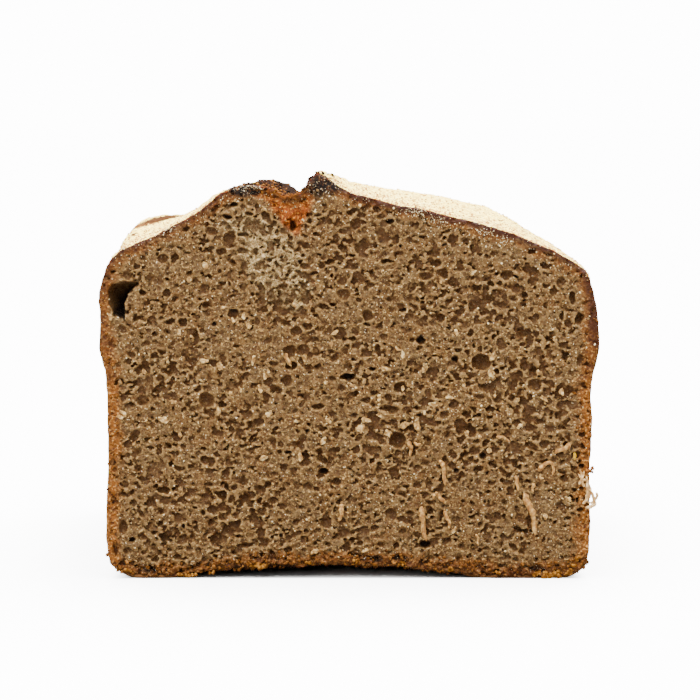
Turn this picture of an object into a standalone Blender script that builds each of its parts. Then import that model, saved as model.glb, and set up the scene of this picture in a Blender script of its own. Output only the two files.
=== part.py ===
"""The cut end of a whole grain rye loaf, baked in a tin and standing on its base.

The cut face looks along -Y, the baked end is at +Y and +Z is up. The origin is on the
table, under the middle of the loaf. Sizes are written in millimetres, times MM.
"""

import math
import random

import bmesh
import bpy
import numpy as np
from mathutils import Matrix, Vector, noise

MM = 0.001

# The loaf as a whole.
LENGTH = 132 * MM
FRONT = -LENGTH / 2
TIN_HALF_WIDTH = 55.4 * MM
CORNER_SOFTNESS = 1.15 * MM
SECTION_CENTRE = 42 * MM

# Above the tin's rim the dough swelled sideways into a soft ledge, and the shoulders draw in.
RIM_FOOT = 43 * MM
RIM_TOP = 54 * MM
RIM_SWELL = 2.1 * MM
WALL_WAVE = 0.4 * MM
WALL_WAVE_LENGTH = 46 * MM
WALL_WAVE_START = 0.55 * math.pi
SHOULDER_FROM = 58 * MM
SHOULDER_TO = 80 * MM
SHOULDER_DRAW_IN = 3.4 * MM
FOOT_ROUND = 4.6 * MM

# The crown: a flat dome over the shoulders, higher behind the cut than at it.
SHOULDER = 71.8 * MM
DOME_RISE = 14.3 * MM
DOME_CENTRE = -3 * MM
DOME_REACH = 57 * MM
DOME_POWER = 2.2
FULL_AT = 60 * MM
END_SLOPE_FROM = 86 * MM
END_SLOPE = 5.5 * MM
CROWN_SWELLS = (
    # Across, how much higher behind the cut, and reach, in millimetres.
    (-53, 4.8, 8),
    (-35, 1.5, 7),
    (-21, 0.6, 6),
    (30, 1.9, 18),
    (36.5, 1.0, 4.5),
)

# The crust tore open along the top while it baked. Each side of the tear has a raised lip.
SPLIT_X = -11.1 * MM
SPLIT_WANDER = 3.2 * MM
SPLIT_WAVE = 27 * MM
SPLIT_FLOOR = 2.9 * MM
SPLIT_FLOOR_BEHIND = -0.5 * MM
SPLIT_HALF = 3.4 * MM
SPLIT_CLOSES = 90 * MM
SPLIT_END = 112 * MM
RIGHT_LIP = 6.9 * MM
RIGHT_LIP_FROM = -1 * MM
RIGHT_LIP_AT = 4.7 * MM
RIGHT_LIP_FALL = 8 * MM
RIGHT_LIP_FALL_BEHIND = 14 * MM
LEFT_LIP = 6.2 * MM
LEFT_LIP_AT = -13.0 * MM
LEFT_LIP_EDGE = 7 * MM
LEFT_LIP_REACH = 11.5 * MM
LIP_FADE = 0.28

# A short second tear far back on the left shoulder.
SCAR_FROM = (-50 * MM, 56 * MM)
SCAR_TO = (-37 * MM, 104 * MM)
SCAR_HALF = 2.6 * MM
SCAR_DEPTH = 1.5 * MM

# The base is lifted off the table behind the middle of the cut edge.
ARCH_LEFT = -41 * MM
ARCH_RIGHT = 29 * MM
ARCH_HEIGHT = 2.6 * MM
ARCH_DEPTH = 30 * MM
ARCH_RAGGED = 0.5 * MM
ARCH_RAGGED_SIZE = 4 * MM

# The baked end closes with rounded edges and bulges a little above the tin's rim.
END_ROUND_FROM = 119 * MM
END_ROUND_POWER = 3.2
END_DRAW_IN = 0.14
END_CAP_SCALES = (0.87, 0.68, 0.48, 0.29, 0.12)
END_BULGE = 0.6
END_RELIEF = 0.5

CRUST_RELIEF = 0.45 * MM
CRUST_RELIEF_SIZE = 9 * MM
EDGE_RELIEF = 0.28 * MM
EDGE_RELIEF_SIZE = 2.6 * MM
TOUCHING = 0.02 * MM
WELD = 0.002 * MM
SHARP_FROM = math.radians(40)

RING_POINTS = 100
SPLIT_CROWDING = (20, 2.4)
SECTION_CROWDING = (
    # Direction from the section's centre in degrees, reach in degrees and how much closer.
    (29, 8, 1.6),
    (151, 8, 1.6),
    (-37.5, 6, 3.0),
    (217.5, 6, 3.0),
)
STATIONS = (0, 3, 8, 14, 21, 29, 37, 45, 54, 63, 72, 81, 90, 99, 107, 113)
END_STATIONS = (119, 123, 126.5, 129, 130.7, 131.6)

# Pores that stand out in the cut face: across from the middle, up from the base, half width,
# half height, all in millimetres, and how deep they are for their size.
MARKED_PORES = (
    (-32.8, 40.6, 1.85, 1.85, 1.1),
    (30.3, 49.4, 2.25, 2.00, 1.2),
    (42.5, 44.2, 1.80, 1.60, 0.9),
    (11.1, 31.5, 2.10, 2.10, 1.3),
    (-13.6, 52.0, 1.75, 1.50, 1.0),
    (-10.5, 52.2, 1.55, 1.45, 1.0),
    (-12.1, 56.5, 1.55, 1.15, 1.1),
    (-14.4, 45.2, 1.25, 1.50, 1.1),
    (-0.2, 46.0, 1.80, 1.00, 1.6),
    (4.1, 60.0, 1.35, 1.40, 1.2),
    (-1.3, 64.8, 1.65, 1.35, 0.9),
    (36.0, 69.3, 1.45, 1.35, 1.1),
    (48.4, 67.8, 1.25, 1.25, 1.1),
    (-42.6, 73.0, 1.35, 1.00, 1.1),
    (-31.3, 79.1, 1.50, 0.95, 1.0),
    (-29.2, 74.7, 1.25, 1.05, 1.2),
    (-43.3, 67.7, 1.25, 2.00, 0.5),
    (-45.9, 44.8, 1.25, 2.60, 0.5),
    (-42.7, 20.0, 1.45, 1.05, 1.3),
    (-52.0, 11.4, 1.10, 1.90, 1.0),
    (-52.2, 57.0, 1.10, 1.10, 0.9),
    (-10.0, 26.3, 1.50, 0.95, 1.1),
    (-5.8, 24.4, 1.40, 0.75, 1.6),
    (9.7, 14.4, 1.50, 1.50, 0.8),
    (-17.5, 17.7, 1.40, 1.05, 1.0),
    (17.5, 7.6, 1.40, 1.05, 1.3),
    (24.6, 13.4, 1.40, 1.00, 0.8),
    (17.5, 68.9, 1.80, 0.90, 1.0),
    (9.2, 38.7, 2.60, 1.00, 1.1),
    (24.0, 39.8, 1.40, 1.15, 1.0),
    (46.0, 34.3, 1.60, 1.15, 0.7),
    (52.9, 49.9, 0.95, 1.60, 1.0),
)

# The one big hollow, under the left shoulder: lobes of it as across, up, half width, half
# height and depth, in millimetres.
HOLLOW_LOBES = (
    (-52.5, 65.2, 2.9, 3.3, 8.0),
    (-49.6, 66.9, 2.4, 1.6, 5.5),
    (-53.0, 61.2, 1.5, 3.2, 5.0),
)

# Smaller pores are spread by a rule between the marked ones.
PORE_SEED = 5
PORE_COUNT = 46
PORE_RADIUS = (0.75 * MM, 1.15 * MM)
PORE_MARGIN = 2.3 * MM
PORE_GAP = 0.8 * MM
PORE_FLATTEN = (0.6, 1.0)
PORE_DEPTH = (0.8, 1.3)
PORE_ROUGHNESS = 0.13

# Crumb rolled up by the knife lies on the cut face: across, up, length, lean from upright
# in degrees, thickness and bend of the middle, all but the lean in millimetres.
CRUMB_ROLLS = (
    (21.4, 24.1, 6.0, 10, 0.95, 0.4),
    (17.3, 12.4, 8.2, 7, 1.10, -0.4),
    (41.5, 14.6, 10.2, 16, 1.35, 0.5),
    (22.4, 13.2, 4.4, 18, 0.85, 0.3),
    (21.2, 18.0, 2.6, 42, 0.85, 0.0),
    (38.4, 21.6, 3.6, 10, 0.75, 0.2),
    (43.9, 25.6, 3.4, -62, 0.90, 0.9),
    (42.2, 20.6, 2.2, -6, 0.70, 0.0),
    (48.9, 29.6, 4.2, -62, 1.00, 0.2),
    (13.9, 29.6, 3.6, 4, 0.85, 0.2),
    (-2.1, 14.9, 4.2, -8, 1.00, 0.3),
    (-14.1, 50.0, 3.0, 24, 0.80, 0.0),
)
ROLL_SIDES = 6
ROLL_RINGS = 5
ROLL_TAPER = 0.55
ROLL_PROUD = 0.18


def clear_scene():
    for item in list(bpy.data.objects):
        bpy.data.objects.remove(item, do_unlink=True)


def bread_material():
    material = bpy.data.materials.new("rye_bread")
    material.use_nodes = True
    shader = material.node_tree.nodes["Principled BSDF"]
    shader.inputs["Base Color"].default_value = (0.223, 0.119, 0.047, 1)
    shader.inputs["Roughness"].default_value = 0.75
    shader.inputs["Metallic"].default_value = 0
    return material


def ease(value, low, high):
    """0 below low, 1 above high and a smooth step between."""
    t = np.clip((value - low) / (high - low), 0, 1)
    return t * t * (3 - 2 * t)


def bell(value, centre, reach):
    return np.exp(-(((value - centre) / reach) ** 2))


def split_line(depth):
    """Where the bottom of the split runs across the loaf, at this depth behind the cut."""
    return SPLIT_X + SPLIT_WANDER * math.sin(depth / SPLIT_WAVE)


def scar_profile(x, depth):
    """1 on the second tear's line, falling to 0 at its edges and ends."""
    (x0, d0), (x1, d1) = SCAR_FROM, SCAR_TO
    along = (depth - d0) / (d1 - d0)
    if not 0 < along < 1:
        return np.zeros_like(x)
    middle = x0 + (x1 - x0) * along
    return bell(x, middle, SCAR_HALF) * math.sin(math.pi * along)


def crown(x, depth):
    """Height of the top crust."""
    side = np.abs(x - DOME_CENTRE) / DOME_REACH
    height = SHOULDER + DOME_RISE * (1 - side**DOME_POWER)
    fuller = ease(depth, 0, FULL_AT)
    for at, more, reach in CROWN_SWELLS:
        height += fuller * more * MM * bell(x, at * MM, reach * MM)
    height -= END_SLOPE * (max(0, depth - END_SLOPE_FROM) / (LENGTH - END_SLOPE_FROM)) ** 2

    across = x - split_line(depth)
    open_here = 1 - ease(depth, SPLIT_CLOSES, SPLIT_END)
    lips = (1 - LIP_FADE * fuller) * open_here
    fall = RIGHT_LIP_FALL + (RIGHT_LIP_FALL_BEHIND - RIGHT_LIP_FALL) * fuller
    right_of_lip = np.exp(-np.maximum(0, across - RIGHT_LIP_AT) / fall)
    height += lips * RIGHT_LIP * right_of_lip * ease(across, RIGHT_LIP_FROM, RIGHT_LIP_AT)
    left_of_lip = bell(across, LEFT_LIP_AT, LEFT_LIP_REACH)
    height += lips * LEFT_LIP * left_of_lip * ease(-across, 0, LEFT_LIP_EDGE)
    floor = SPLIT_FLOOR + (SPLIT_FLOOR_BEHIND - SPLIT_FLOOR) * fuller
    height += open_here * floor * bell(across, 0, SPLIT_HALF)
    return height - SCAR_DEPTH * scar_profile(x, depth)


def wall(z):
    """Half width of the loaf at this height."""
    swell = RIM_SWELL * ease(z, RIM_FOOT, RIM_TOP)
    wave = WALL_WAVE * np.cos(2 * math.pi * z / WALL_WAVE_LENGTH + WALL_WAVE_START)
    shoulder = SHOULDER_DRAW_IN * ease(z, SHOULDER_FROM, SHOULDER_TO)
    below = np.clip(1 - z / FOOT_ROUND, 0, 1)
    foot = FOOT_ROUND * (1 - np.sqrt(1 - below**2))
    return TIN_HALF_WIDTH + swell + wave - shoulder - foot


def base(x, depth):
    """Height of the base over the table: zero, but for the arch behind the cut edge."""
    middle = (ARCH_LEFT + ARCH_RIGHT) / 2
    half = (ARCH_RIGHT - ARCH_LEFT) / 2
    rise = np.clip(1 - ((x - middle) / half) ** 2, 0, 1)
    ragged = np.array([noise.noise(Vector((v, 0, depth)) / ARCH_RAGGED_SIZE) for v in x])
    lift = (ARCH_HEIGHT + ARCH_RAGGED * ragged) * rise
    return lift * (1 - ease(depth, 0, ARCH_DEPTH))


def outside(x, z, depth):
    """Below zero inside the section and above zero outside it, with rounded corners."""
    gaps = np.stack([np.abs(x) - wall(z), z - crown(x, depth), base(x, depth) - z])
    most = gaps.max(axis=0)
    return most + CORNER_SOFTNESS * np.log(np.exp((gaps - most) / CORNER_SOFTNESS).sum(axis=0))


def ring_angles(depth):
    """Angles round the section, closer together at the split and at the four corners."""
    split_height = SHOULDER + DOME_RISE - SECTION_CENTRE
    split_at = math.degrees(math.atan2(split_height, split_line(depth)))
    fine = np.linspace(-math.pi / 2, 1.5 * math.pi, 2000)
    crowding = np.ones_like(fine)
    for at, reach, more in ((split_at, *SPLIT_CROWDING), *SECTION_CROWDING):
        crowding += more * bell(np.degrees(fine), at, reach)
    travelled = np.cumsum(crowding)
    share = (travelled - travelled[0]) / (travelled[-1] - travelled[0])
    return np.interp(np.arange(RING_POINTS) / RING_POINTS, share, fine)


def ring(depth):
    """Points (x, z) of the section's outline, found by halving along each ray."""
    angles = ring_angles(depth)
    low = np.zeros(RING_POINTS)
    high = np.full(RING_POINTS, 80 * MM)
    for _ in range(32):
        middle = (low + high) / 2
        out = outside(middle * np.cos(angles), SECTION_CENTRE + middle * np.sin(angles), depth) > 0
        low, high = np.where(out, low, middle), np.where(out, middle, high)
    return low * np.cos(angles), SECTION_CENTRE + low * np.sin(angles)


def crust_relief(x, y, z):
    """How far the crust stands proud at this point: soft dents and swells."""
    place = Vector((x, y, z)) / CRUST_RELIEF_SIZE
    return CRUST_RELIEF * noise.fractal(place, 1.0, 2.0, 3)


def ring_points(depth, scale=1.0):
    """One ring of the loaf's skin, with the crust's relief, drawn in by scale."""
    xs, zs = ring(depth)
    points = []
    for x, z in zip(xs, zs):
        if z < TOUCHING:
            z = 0.0
        else:
            outward = Vector((x, 0, z - SECTION_CENTRE)).normalized()
            proud = crust_relief(x, depth, z)
            if depth == 0:
                proud += EDGE_RELIEF * noise.noise(Vector((x, z, 0)) / EDGE_RELIEF_SIZE)
            x += outward.x * proud
            z = max(z + outward.z * proud, 0.0)
        height = SECTION_CENTRE + (z - SECTION_CENTRE) * scale
        points.append(Vector((x * scale, FRONT + depth, height)))
    return points


def end_scale(depth):
    """How far the section has drawn in near the baked end."""
    along = max(0, depth - END_ROUND_FROM) / (LENGTH - END_ROUND_FROM)
    closing = (1 - along**END_ROUND_POWER) ** (1 / END_ROUND_POWER)
    return 1 - END_DRAW_IN * (1 - closing)


def end_cap_ring(scale):
    """One ring of the baked end's wall, drawn in by scale."""
    points = ring_points(END_STATIONS[-1] * MM, scale)
    for p in points:
        above_rim = RIM_SWELL * float(ease(p.z, RIM_FOOT, RIM_TOP)) * (1 - scale)
        p.y = FRONT + LENGTH + END_BULGE * above_rim - END_RELIEF * abs(crust_relief(p.x, LENGTH, p.z))
    return points


def loaf_body():
    """The whole loaf as one closed mesh, with a flat cut face."""
    mesh = bmesh.new()
    rings = [ring_points(d * MM) for d in STATIONS]
    rings += [ring_points(d * MM, end_scale(d * MM)) for d in END_STATIONS]
    rings += [end_cap_ring(scale) for scale in END_CAP_SCALES]
    made = [[mesh.verts.new(p) for p in points] for points in rings]
    for one, two in zip(made, made[1:]):
        for i in range(RING_POINTS):
            j = (i + 1) % RING_POINTS
            mesh.faces.new((one[i], one[j], two[j], two[i]))
    mesh.faces.new(reversed(made[0]))
    tip = mesh.verts.new(sum((v.co for v in made[-1]), Vector()) / RING_POINTS)
    for i in range(RING_POINTS):
        mesh.faces.new((made[-1][i], made[-1][(i + 1) % RING_POINTS], tip))
    bmesh.ops.recalc_face_normals(mesh, faces=mesh.faces)
    return mesh_object("rye_loaf", mesh)


def mesh_object(name, mesh, collection=None):
    data = bpy.data.meshes.new(name)
    mesh.to_mesh(data)
    mesh.free()
    made = bpy.data.objects.new(name, data)
    (collection or bpy.context.scene.collection).objects.link(made)
    return made


def spread_pores():
    """Pores for the rest of the face: (x, z, half width, half height), clear of each other."""
    draw = random.Random(PORE_SEED)
    taken = [(x * MM, z * MM, max(a, b) * MM) for x, z, a, b, _ in MARKED_PORES]
    taken += [(x * MM, z * MM, max(a, b) * MM) for x, z, a, b, _ in HOLLOW_LOBES]
    taken += [(x * MM, z * MM, length / 3 * MM) for x, z, length, *_ in CRUMB_ROLLS]
    pores = []
    while len(pores) < PORE_COUNT:
        x = draw.uniform(-1, 1) * TIN_HALF_WIDTH
        z = draw.uniform(0.04, 0.99) * (SHOULDER + DOME_RISE)
        size = draw.uniform(*PORE_RADIUS)
        flat = draw.uniform(*PORE_FLATTEN)
        inside = float(outside(np.array([x]), np.array([z]), 0)[0]) < -(size + PORE_MARGIN)
        clear = all(math.hypot(x - u, z - v) > size + r + PORE_GAP for u, v, r in taken)
        if inside and clear:
            taken.append((x, z, size))
            pores.append((x, z, size, size * flat))
    return pores


def pore_cutter(name, collection, place, half_sizes, draw):
    """One uneven bubble whose middle lies in the cut face."""
    mesh = bmesh.new()
    bmesh.ops.create_icosphere(mesh, subdivisions=2, radius=1)
    x, z = place
    for v in mesh.verts:
        swell = 1 + draw.uniform(-1, 1) * PORE_ROUGHNESS
        v.co = Vector([c * s * swell for c, s in zip(v.co, half_sizes)])
    bmesh.ops.translate(mesh, verts=mesh.verts, vec=(x, FRONT, z))
    return mesh_object(name, mesh, collection)


def cut_pores(body):
    cutters = bpy.data.collections.new("bubbles")
    bpy.context.scene.collection.children.link(cutters)
    draw = random.Random(PORE_SEED + 1)
    bubbles = [(x, z, a, b, deep * (a + b) / 2) for x, z, a, b, deep in MARKED_PORES]
    bubbles += HOLLOW_LOBES
    for x, z, a, b in spread_pores():
        bubbles.append((x / MM, z / MM, a / MM, b / MM, b / MM * draw.uniform(*PORE_DEPTH)))
    for i, (x, z, a, b, deep) in enumerate(bubbles):
        half_sizes = (a * MM, deep * MM, b * MM)
        pore_cutter(f"bubble_{i}", cutters, (x * MM, z * MM), half_sizes, draw)
    boolean(body, "DIFFERENCE", cutters)


def crumb_roll(name, collection, lean, x, z, length, thickness, bend):
    """A tapered roll of crumb, bent at its middle, lying half in the face."""
    mesh = bmesh.new()
    radius = thickness / 2
    turns = [2 * math.pi * (k + 0.5) / ROLL_SIDES for k in range(ROLL_SIDES)]
    rings = []
    for i in range(ROLL_RINGS):
        t = i / (ROLL_RINGS - 1)
        swell = radius * (ROLL_TAPER + (1 - ROLL_TAPER) * math.sin(math.pi * t))
        middle = Vector((bend * math.sin(math.pi * t), 0, (t - 0.5) * length))
        round_it = [middle + Vector((math.cos(a), math.sin(a), 0)) * swell for a in turns]
        rings.append([mesh.verts.new(p) for p in round_it])
    for one, two in zip(rings, rings[1:]):
        for k in range(ROLL_SIDES):
            n = (k + 1) % ROLL_SIDES
            mesh.faces.new((one[k], one[n], two[n], two[k]))
    for end, lift in ((rings[0], -0.5), (rings[-1], 0.5)):
        tip = mesh.verts.new(Vector((0, 0, lift * (length + radius))))
        for k in range(ROLL_SIDES):
            mesh.faces.new((end[k], end[(k + 1) % ROLL_SIDES], tip))
    bmesh.ops.recalc_face_normals(mesh, faces=mesh.faces)
    moved = Matrix.Translation((x, FRONT - radius * ROLL_PROUD, z))
    turned = Matrix.Rotation(math.radians(lean), 4, "Y")
    bmesh.ops.transform(mesh, matrix=moved @ turned, verts=mesh.verts)
    return mesh_object(name, mesh, collection)


def add_crumb_rolls(body):
    rolls = bpy.data.collections.new("rolls")
    bpy.context.scene.collection.children.link(rolls)
    for i, (x, z, length, lean, thickness, bend) in enumerate(CRUMB_ROLLS):
        # A roll leans with its upper end to the left, as seen from the front.
        sizes = [v * MM for v in (x, z, length, thickness, bend)]
        crumb_roll(f"roll_{i}", rolls, -lean, *sizes)
    boolean(body, "UNION", rolls)


def boolean(body, operation, collection):
    """Joins or cuts all the collection's objects at once, then removes them."""
    modifier = body.modifiers.new(operation.lower(), "BOOLEAN")
    modifier.operation = operation
    modifier.operand_type = "COLLECTION"
    modifier.collection = collection
    modifier.solver = "MANIFOLD"
    bpy.context.view_layer.objects.active = body
    bpy.ops.object.modifier_apply(modifier=modifier.name)
    for item in list(collection.objects):
        bpy.data.objects.remove(item, do_unlink=True)
    bpy.data.collections.remove(collection)


def weld_and_triangulate(body):
    """Merges points that the cuts left almost on each other, and leaves triangles."""
    mesh = bmesh.new()
    mesh.from_mesh(body.data)
    bmesh.ops.remove_doubles(mesh, verts=mesh.verts, dist=WELD)
    bmesh.ops.triangulate(mesh, faces=mesh.faces)
    mesh.to_mesh(body.data)
    mesh.free()


def centre_on_table(body):
    """Puts the origin under the middle of the loaf's box."""
    corners = np.array([v.co for v in body.data.vertices])
    low, high = corners.min(axis=0), corners.max(axis=0)
    middle = (low + high) / 2
    body.data.transform(Matrix.Translation((-middle[0], -middle[1], 0)))


def main():
    clear_scene()
    loaf = loaf_body()
    cut_pores(loaf)
    add_crumb_rolls(loaf)
    weld_and_triangulate(loaf)
    centre_on_table(loaf)
    loaf.data.materials.clear()
    loaf.data.materials.append(bread_material())
    loaf.data.shade_smooth()
    loaf.data.set_sharp_from_angle(angle=SHARP_FROM)


main()
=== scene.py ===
import math

import bmesh
import bpy
import numpy as np
from mathutils import Matrix, Vector
from mathutils.bvhtree import BVHTree
from mathutils.kdtree import KDTree


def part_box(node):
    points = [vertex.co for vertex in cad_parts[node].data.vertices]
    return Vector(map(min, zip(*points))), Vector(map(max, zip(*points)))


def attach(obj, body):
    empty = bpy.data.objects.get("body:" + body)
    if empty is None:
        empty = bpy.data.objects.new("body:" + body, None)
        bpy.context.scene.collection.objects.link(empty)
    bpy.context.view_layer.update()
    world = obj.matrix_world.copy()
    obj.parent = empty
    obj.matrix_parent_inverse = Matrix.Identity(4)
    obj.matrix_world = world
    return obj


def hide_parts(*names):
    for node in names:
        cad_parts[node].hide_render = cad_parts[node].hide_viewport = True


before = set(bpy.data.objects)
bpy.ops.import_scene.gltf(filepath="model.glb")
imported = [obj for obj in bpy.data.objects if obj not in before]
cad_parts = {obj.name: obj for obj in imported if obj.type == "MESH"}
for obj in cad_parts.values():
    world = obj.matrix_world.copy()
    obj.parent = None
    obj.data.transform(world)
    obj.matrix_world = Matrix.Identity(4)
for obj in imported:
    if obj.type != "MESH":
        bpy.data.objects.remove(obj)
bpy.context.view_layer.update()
MM = 0.001


# Studio. A white paper floor under a white sky, one very wide soft light overhead, a weaker one
# behind for the floured crown and one in front, and a long lens square to the cut face.

def linear(hex_colour):
    """Turns an sRGB hex colour into the linear colour that a shader takes."""
    parts = [int(hex_colour[i:i + 2], 16) / 255 for i in (1, 3, 5)]
    return (*[p / 12.92 if p <= 0.04045 else ((p + 0.055) / 1.055) ** 2.4 for p in parts], 1.0)


def add(tree, kind, inputs=None, **settings):
    """Adds a node with its settings, and fills or links its inputs."""
    node = tree.nodes.new(kind)
    for name, value in settings.items():
        setattr(node, name, value)
    for key, value in (inputs or {}).items():
        if isinstance(value, bpy.types.NodeSocket):
            tree.links.new(value, node.inputs[key])
        else:
            node.inputs[key].default_value = value
    return node


def new_object(name, mesh):
    """An object of that mesh, in the scene, with its place in its mesh."""
    made = bpy.data.objects.new(name, mesh)
    bpy.context.scene.collection.objects.link(made)
    return made


def new_material(name):
    """A material with only its output and its Principled shader."""
    made = bpy.data.materials.new(name)
    made.use_nodes = True
    return made, made.node_tree, made.node_tree.nodes["Principled BSDF"]


CAMERA_DISTANCE = 700 * MM
CAMERA_HEIGHT = 107 * MM
CAMERA_ACROSS = 0.17 * MM
AIM_HEIGHT = 52.8 * MM
LENS = 157.7
SKY_LIGHT, SKY_SEEN = 0.3, 14.0
SUNS = (
    # Name, energy, how wide it looks in degrees and where it shines from.
    ("overhead", 12.5, 95, (-0.10, -0.28, 1)),
    ("behind", 19, 60, (0.15, 0.45, 1)),
)
FRONT_ENERGY, FRONT_WIDTH = 13, 1.1
FRONT_AIM = 50 * MM
FLOOR_HALF = 40
PAPER_LIT, PAPER_SEEN, PAPER_GLOW = 0.25, 0.92, 5.0
DULL_SIDE = (50 * MM, 54 * MM)
DULL_END = 1.5 * MM
# Inputs of a Map Range node.
LEAST, MOST, TO_LEAST, TO_MOST = 1, 2, 3, 4

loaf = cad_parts["rye_loaf"]
loaf_points = np.array([v.co for v in loaf.data.vertices])
near_front = loaf_points[:, 1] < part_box("rye_loaf")[0].y + 1.5 * MM
CUT = float(np.median(loaf_points[near_front, 1]))

camera = new_object("camera", bpy.data.cameras.new("camera"))
camera.data.lens = LENS
camera.data.clip_end = 20
camera.location = (CAMERA_ACROSS, CUT - CAMERA_DISTANCE, CAMERA_HEIGHT)
aim = Vector((CAMERA_ACROSS, CUT, AIM_HEIGHT)) - camera.location
camera.rotation_euler = aim.to_track_quat("-Z", "Y").to_euler()
bpy.context.scene.camera = camera

world = bpy.data.worlds.new("studio")
bpy.context.scene.world = world
world.use_nodes = True
to_camera = add(world.node_tree, "ShaderNodeLightPath").outputs["Is Camera Ray"]
sky = add(world.node_tree, "ShaderNodeMapRange", {
    "Value": to_camera, TO_LEAST: SKY_LIGHT, TO_MOST: SKY_SEEN,
}).outputs[0]
world.node_tree.nodes["Background"].inputs["Color"].default_value = (1, 1, 1, 1)
world.node_tree.links.new(sky, world.node_tree.nodes["Background"].inputs["Strength"])

for name, energy, width, shines_from in SUNS:
    sun = new_object(name, bpy.data.lights.new(name, "SUN"))
    sun.data.energy = energy
    sun.data.angle = math.radians(width)
    sun.rotation_euler = Vector(shines_from).to_track_quat("Z", "Y").to_euler()
front = new_object("front", bpy.data.lights.new("front", "AREA"))
front.data.size = FRONT_WIDTH
front.data.energy = FRONT_ENERGY
front.location = (-0.5, CUT - 1.1, 0.75)
front.rotation_euler = (front.location - Vector((0, CUT, FRONT_AIM))).to_track_quat("Z", "Y").to_euler()

floor_data = bpy.data.meshes.new("floor")
floor_corners = [(x * FLOOR_HALF, y * FLOOR_HALF, 0) for x, y in ((-1, -1), (1, -1), (1, 1), (-1, 1))]
floor_data.from_pydata(floor_corners, [], [(0, 1, 2, 3)])
floor = new_object("floor", floor_data)

# Matt white paper. It is seen pure white, but lights the loaf only a little, and doesn't glow
# under it, so the gap under the arch stays dark.
paper, tree, shader = new_material("white_paper")
to_camera = add(tree, "ShaderNodeLightPath").outputs["Is Camera Ray"]
tone = add(tree, "ShaderNodeMapRange", {
    "Value": to_camera, TO_LEAST: PAPER_LIT, TO_MOST: PAPER_SEEN,
}).outputs[0]
place = add(tree, "ShaderNodeTexCoord").outputs["Object"]
apart = add(tree, "ShaderNodeSeparateXYZ", {0: place}).outputs
off_side, off_end = (
    add(tree, "ShaderNodeMath", {0: apart[k]}, operation="ABSOLUTE").outputs[0] for k in (0, 1)
)
past_side = add(tree, "ShaderNodeMapRange", {
    "Value": off_side, LEAST: DULL_SIDE[0], MOST: DULL_SIDE[1],
}).outputs[0]
past_end = add(tree, "ShaderNodeMapRange", {
    "Value": off_end, LEAST: -CUT - DULL_END, MOST: -CUT,
}).outputs[0]
open_paper = add(tree, "ShaderNodeMath", {0: past_side, 1: past_end}, operation="MAXIMUM").outputs[0]
seen_open = add(tree, "ShaderNodeMath", {0: to_camera, 1: open_paper}, operation="MULTIPLY").outputs[0]
glow = add(tree, "ShaderNodeMapRange", {"Value": seen_open, TO_MOST: PAPER_GLOW}).outputs[0]
tree.links.new(tone, shader.inputs["Base Color"])
tree.links.new(glow, shader.inputs["Emission Strength"])
shader.inputs["Emission Color"].default_value = (1, 1, 1, 1)
shader.inputs["Roughness"].default_value = 1.0
shader.inputs["Specular IOR Level"].default_value = 0.0
floor_data.materials.append(paper)


# Cut face of the crumb. Sour rye crumb is moist, grey-brown and full of small flattened
# bubbles; the knife opened them. Sizes in millimetres, x across and z up from the table.

HEART = 42.0
FAR = 0.2
PITCH = 0.23
RIM_TURNS, FINE_TURNS, SLOPE_STEPS = 1440, 7200, 12
FACE_INSET = 0.12
RIM_WORN, FLOOR_WORN = 0.10, 0.55
SLAB = 11.5
WALL_INSET, WALL_BEHIND = 1.1, 1.0
SPLIT_TUCK = 3.5
FACE_TRIANGLES = 192000
# Soft bulges of the sides: side, height, half height and how far out, for a side that far out.
BULGES = ((-1, 66.5, 5.0, 1.1), (-1, 11.0, 8.0, 1.0), (1, 11.0, 6.5, 0.8))
BULGE_SIDE = 55

skin_tree = BVHTree.FromPolygons(
    [v.co for v in loaf.data.vertices], [tuple(p.vertices) for p in loaf.data.polygons]
)


def skin_point(angle, depth, across=1.0, back=0.0):
    """Where the loaf's skin lies in a direction from its axis, in millimetres."""
    heart = Vector((0, CUT + depth * MM, HEART * MM))
    way = Vector((math.cos(angle) * across, back, math.sin(angle) * across)).normalized()
    hit = skin_tree.ray_cast(heart + way * FAR, -way)[0] / MM
    for side, height, half, out in BULGES:
        if side * hit.x > 0:
            hit.x *= 1 + out / BULGE_SIDE * math.exp(-((hit.z - height) / half) ** 2)
    return hit


def ease(value, start, stop):
    """0 before start, 1 after stop and a smooth step between."""
    t = np.clip((value - start) / (stop - start), 0, 1)
    return t * t * (3 - 2 * t)


def lumps(x, y, z, size, seed):
    """Smooth noise from -1 to 1 in space, in lumps of that size."""
    values = np.random.default_rng(seed).uniform(-1, 1, (64, 64, 64))
    whole, part = [], []
    for axis in (x, y, z):
        place = np.asarray(axis, float) / size + 640
        cell = np.floor(place)
        step = place - cell
        whole.append((cell.astype(int) % 64, (cell.astype(int) + 1) % 64))
        part.append(step * step * (3 - 2 * step))
    total = 0
    for corner in range(8):
        pick = [(corner >> k) & 1 for k in range(3)]
        share = 1
        for k in range(3):
            share = share * (part[k] if pick[k] else 1 - part[k])
        total = total + share * values[whole[0][pick[0]], whole[1][pick[1]], whole[2][pick[2]]]
    return total


def spot(x, z, at_x, at_z, half_x, half_z):
    """1 in the middle of an oval patch of the face, fading out past its edge."""
    return np.exp(-((x - at_x) / half_x) ** 2 - ((z - at_z) / half_z) ** 2)


def tuck(x, z):
    """How far hidden walls draw in under the split, which runs further right behind the cut."""
    return SPLIT_TUCK * spot(x, z, -9, 91, 9, 8)


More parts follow.
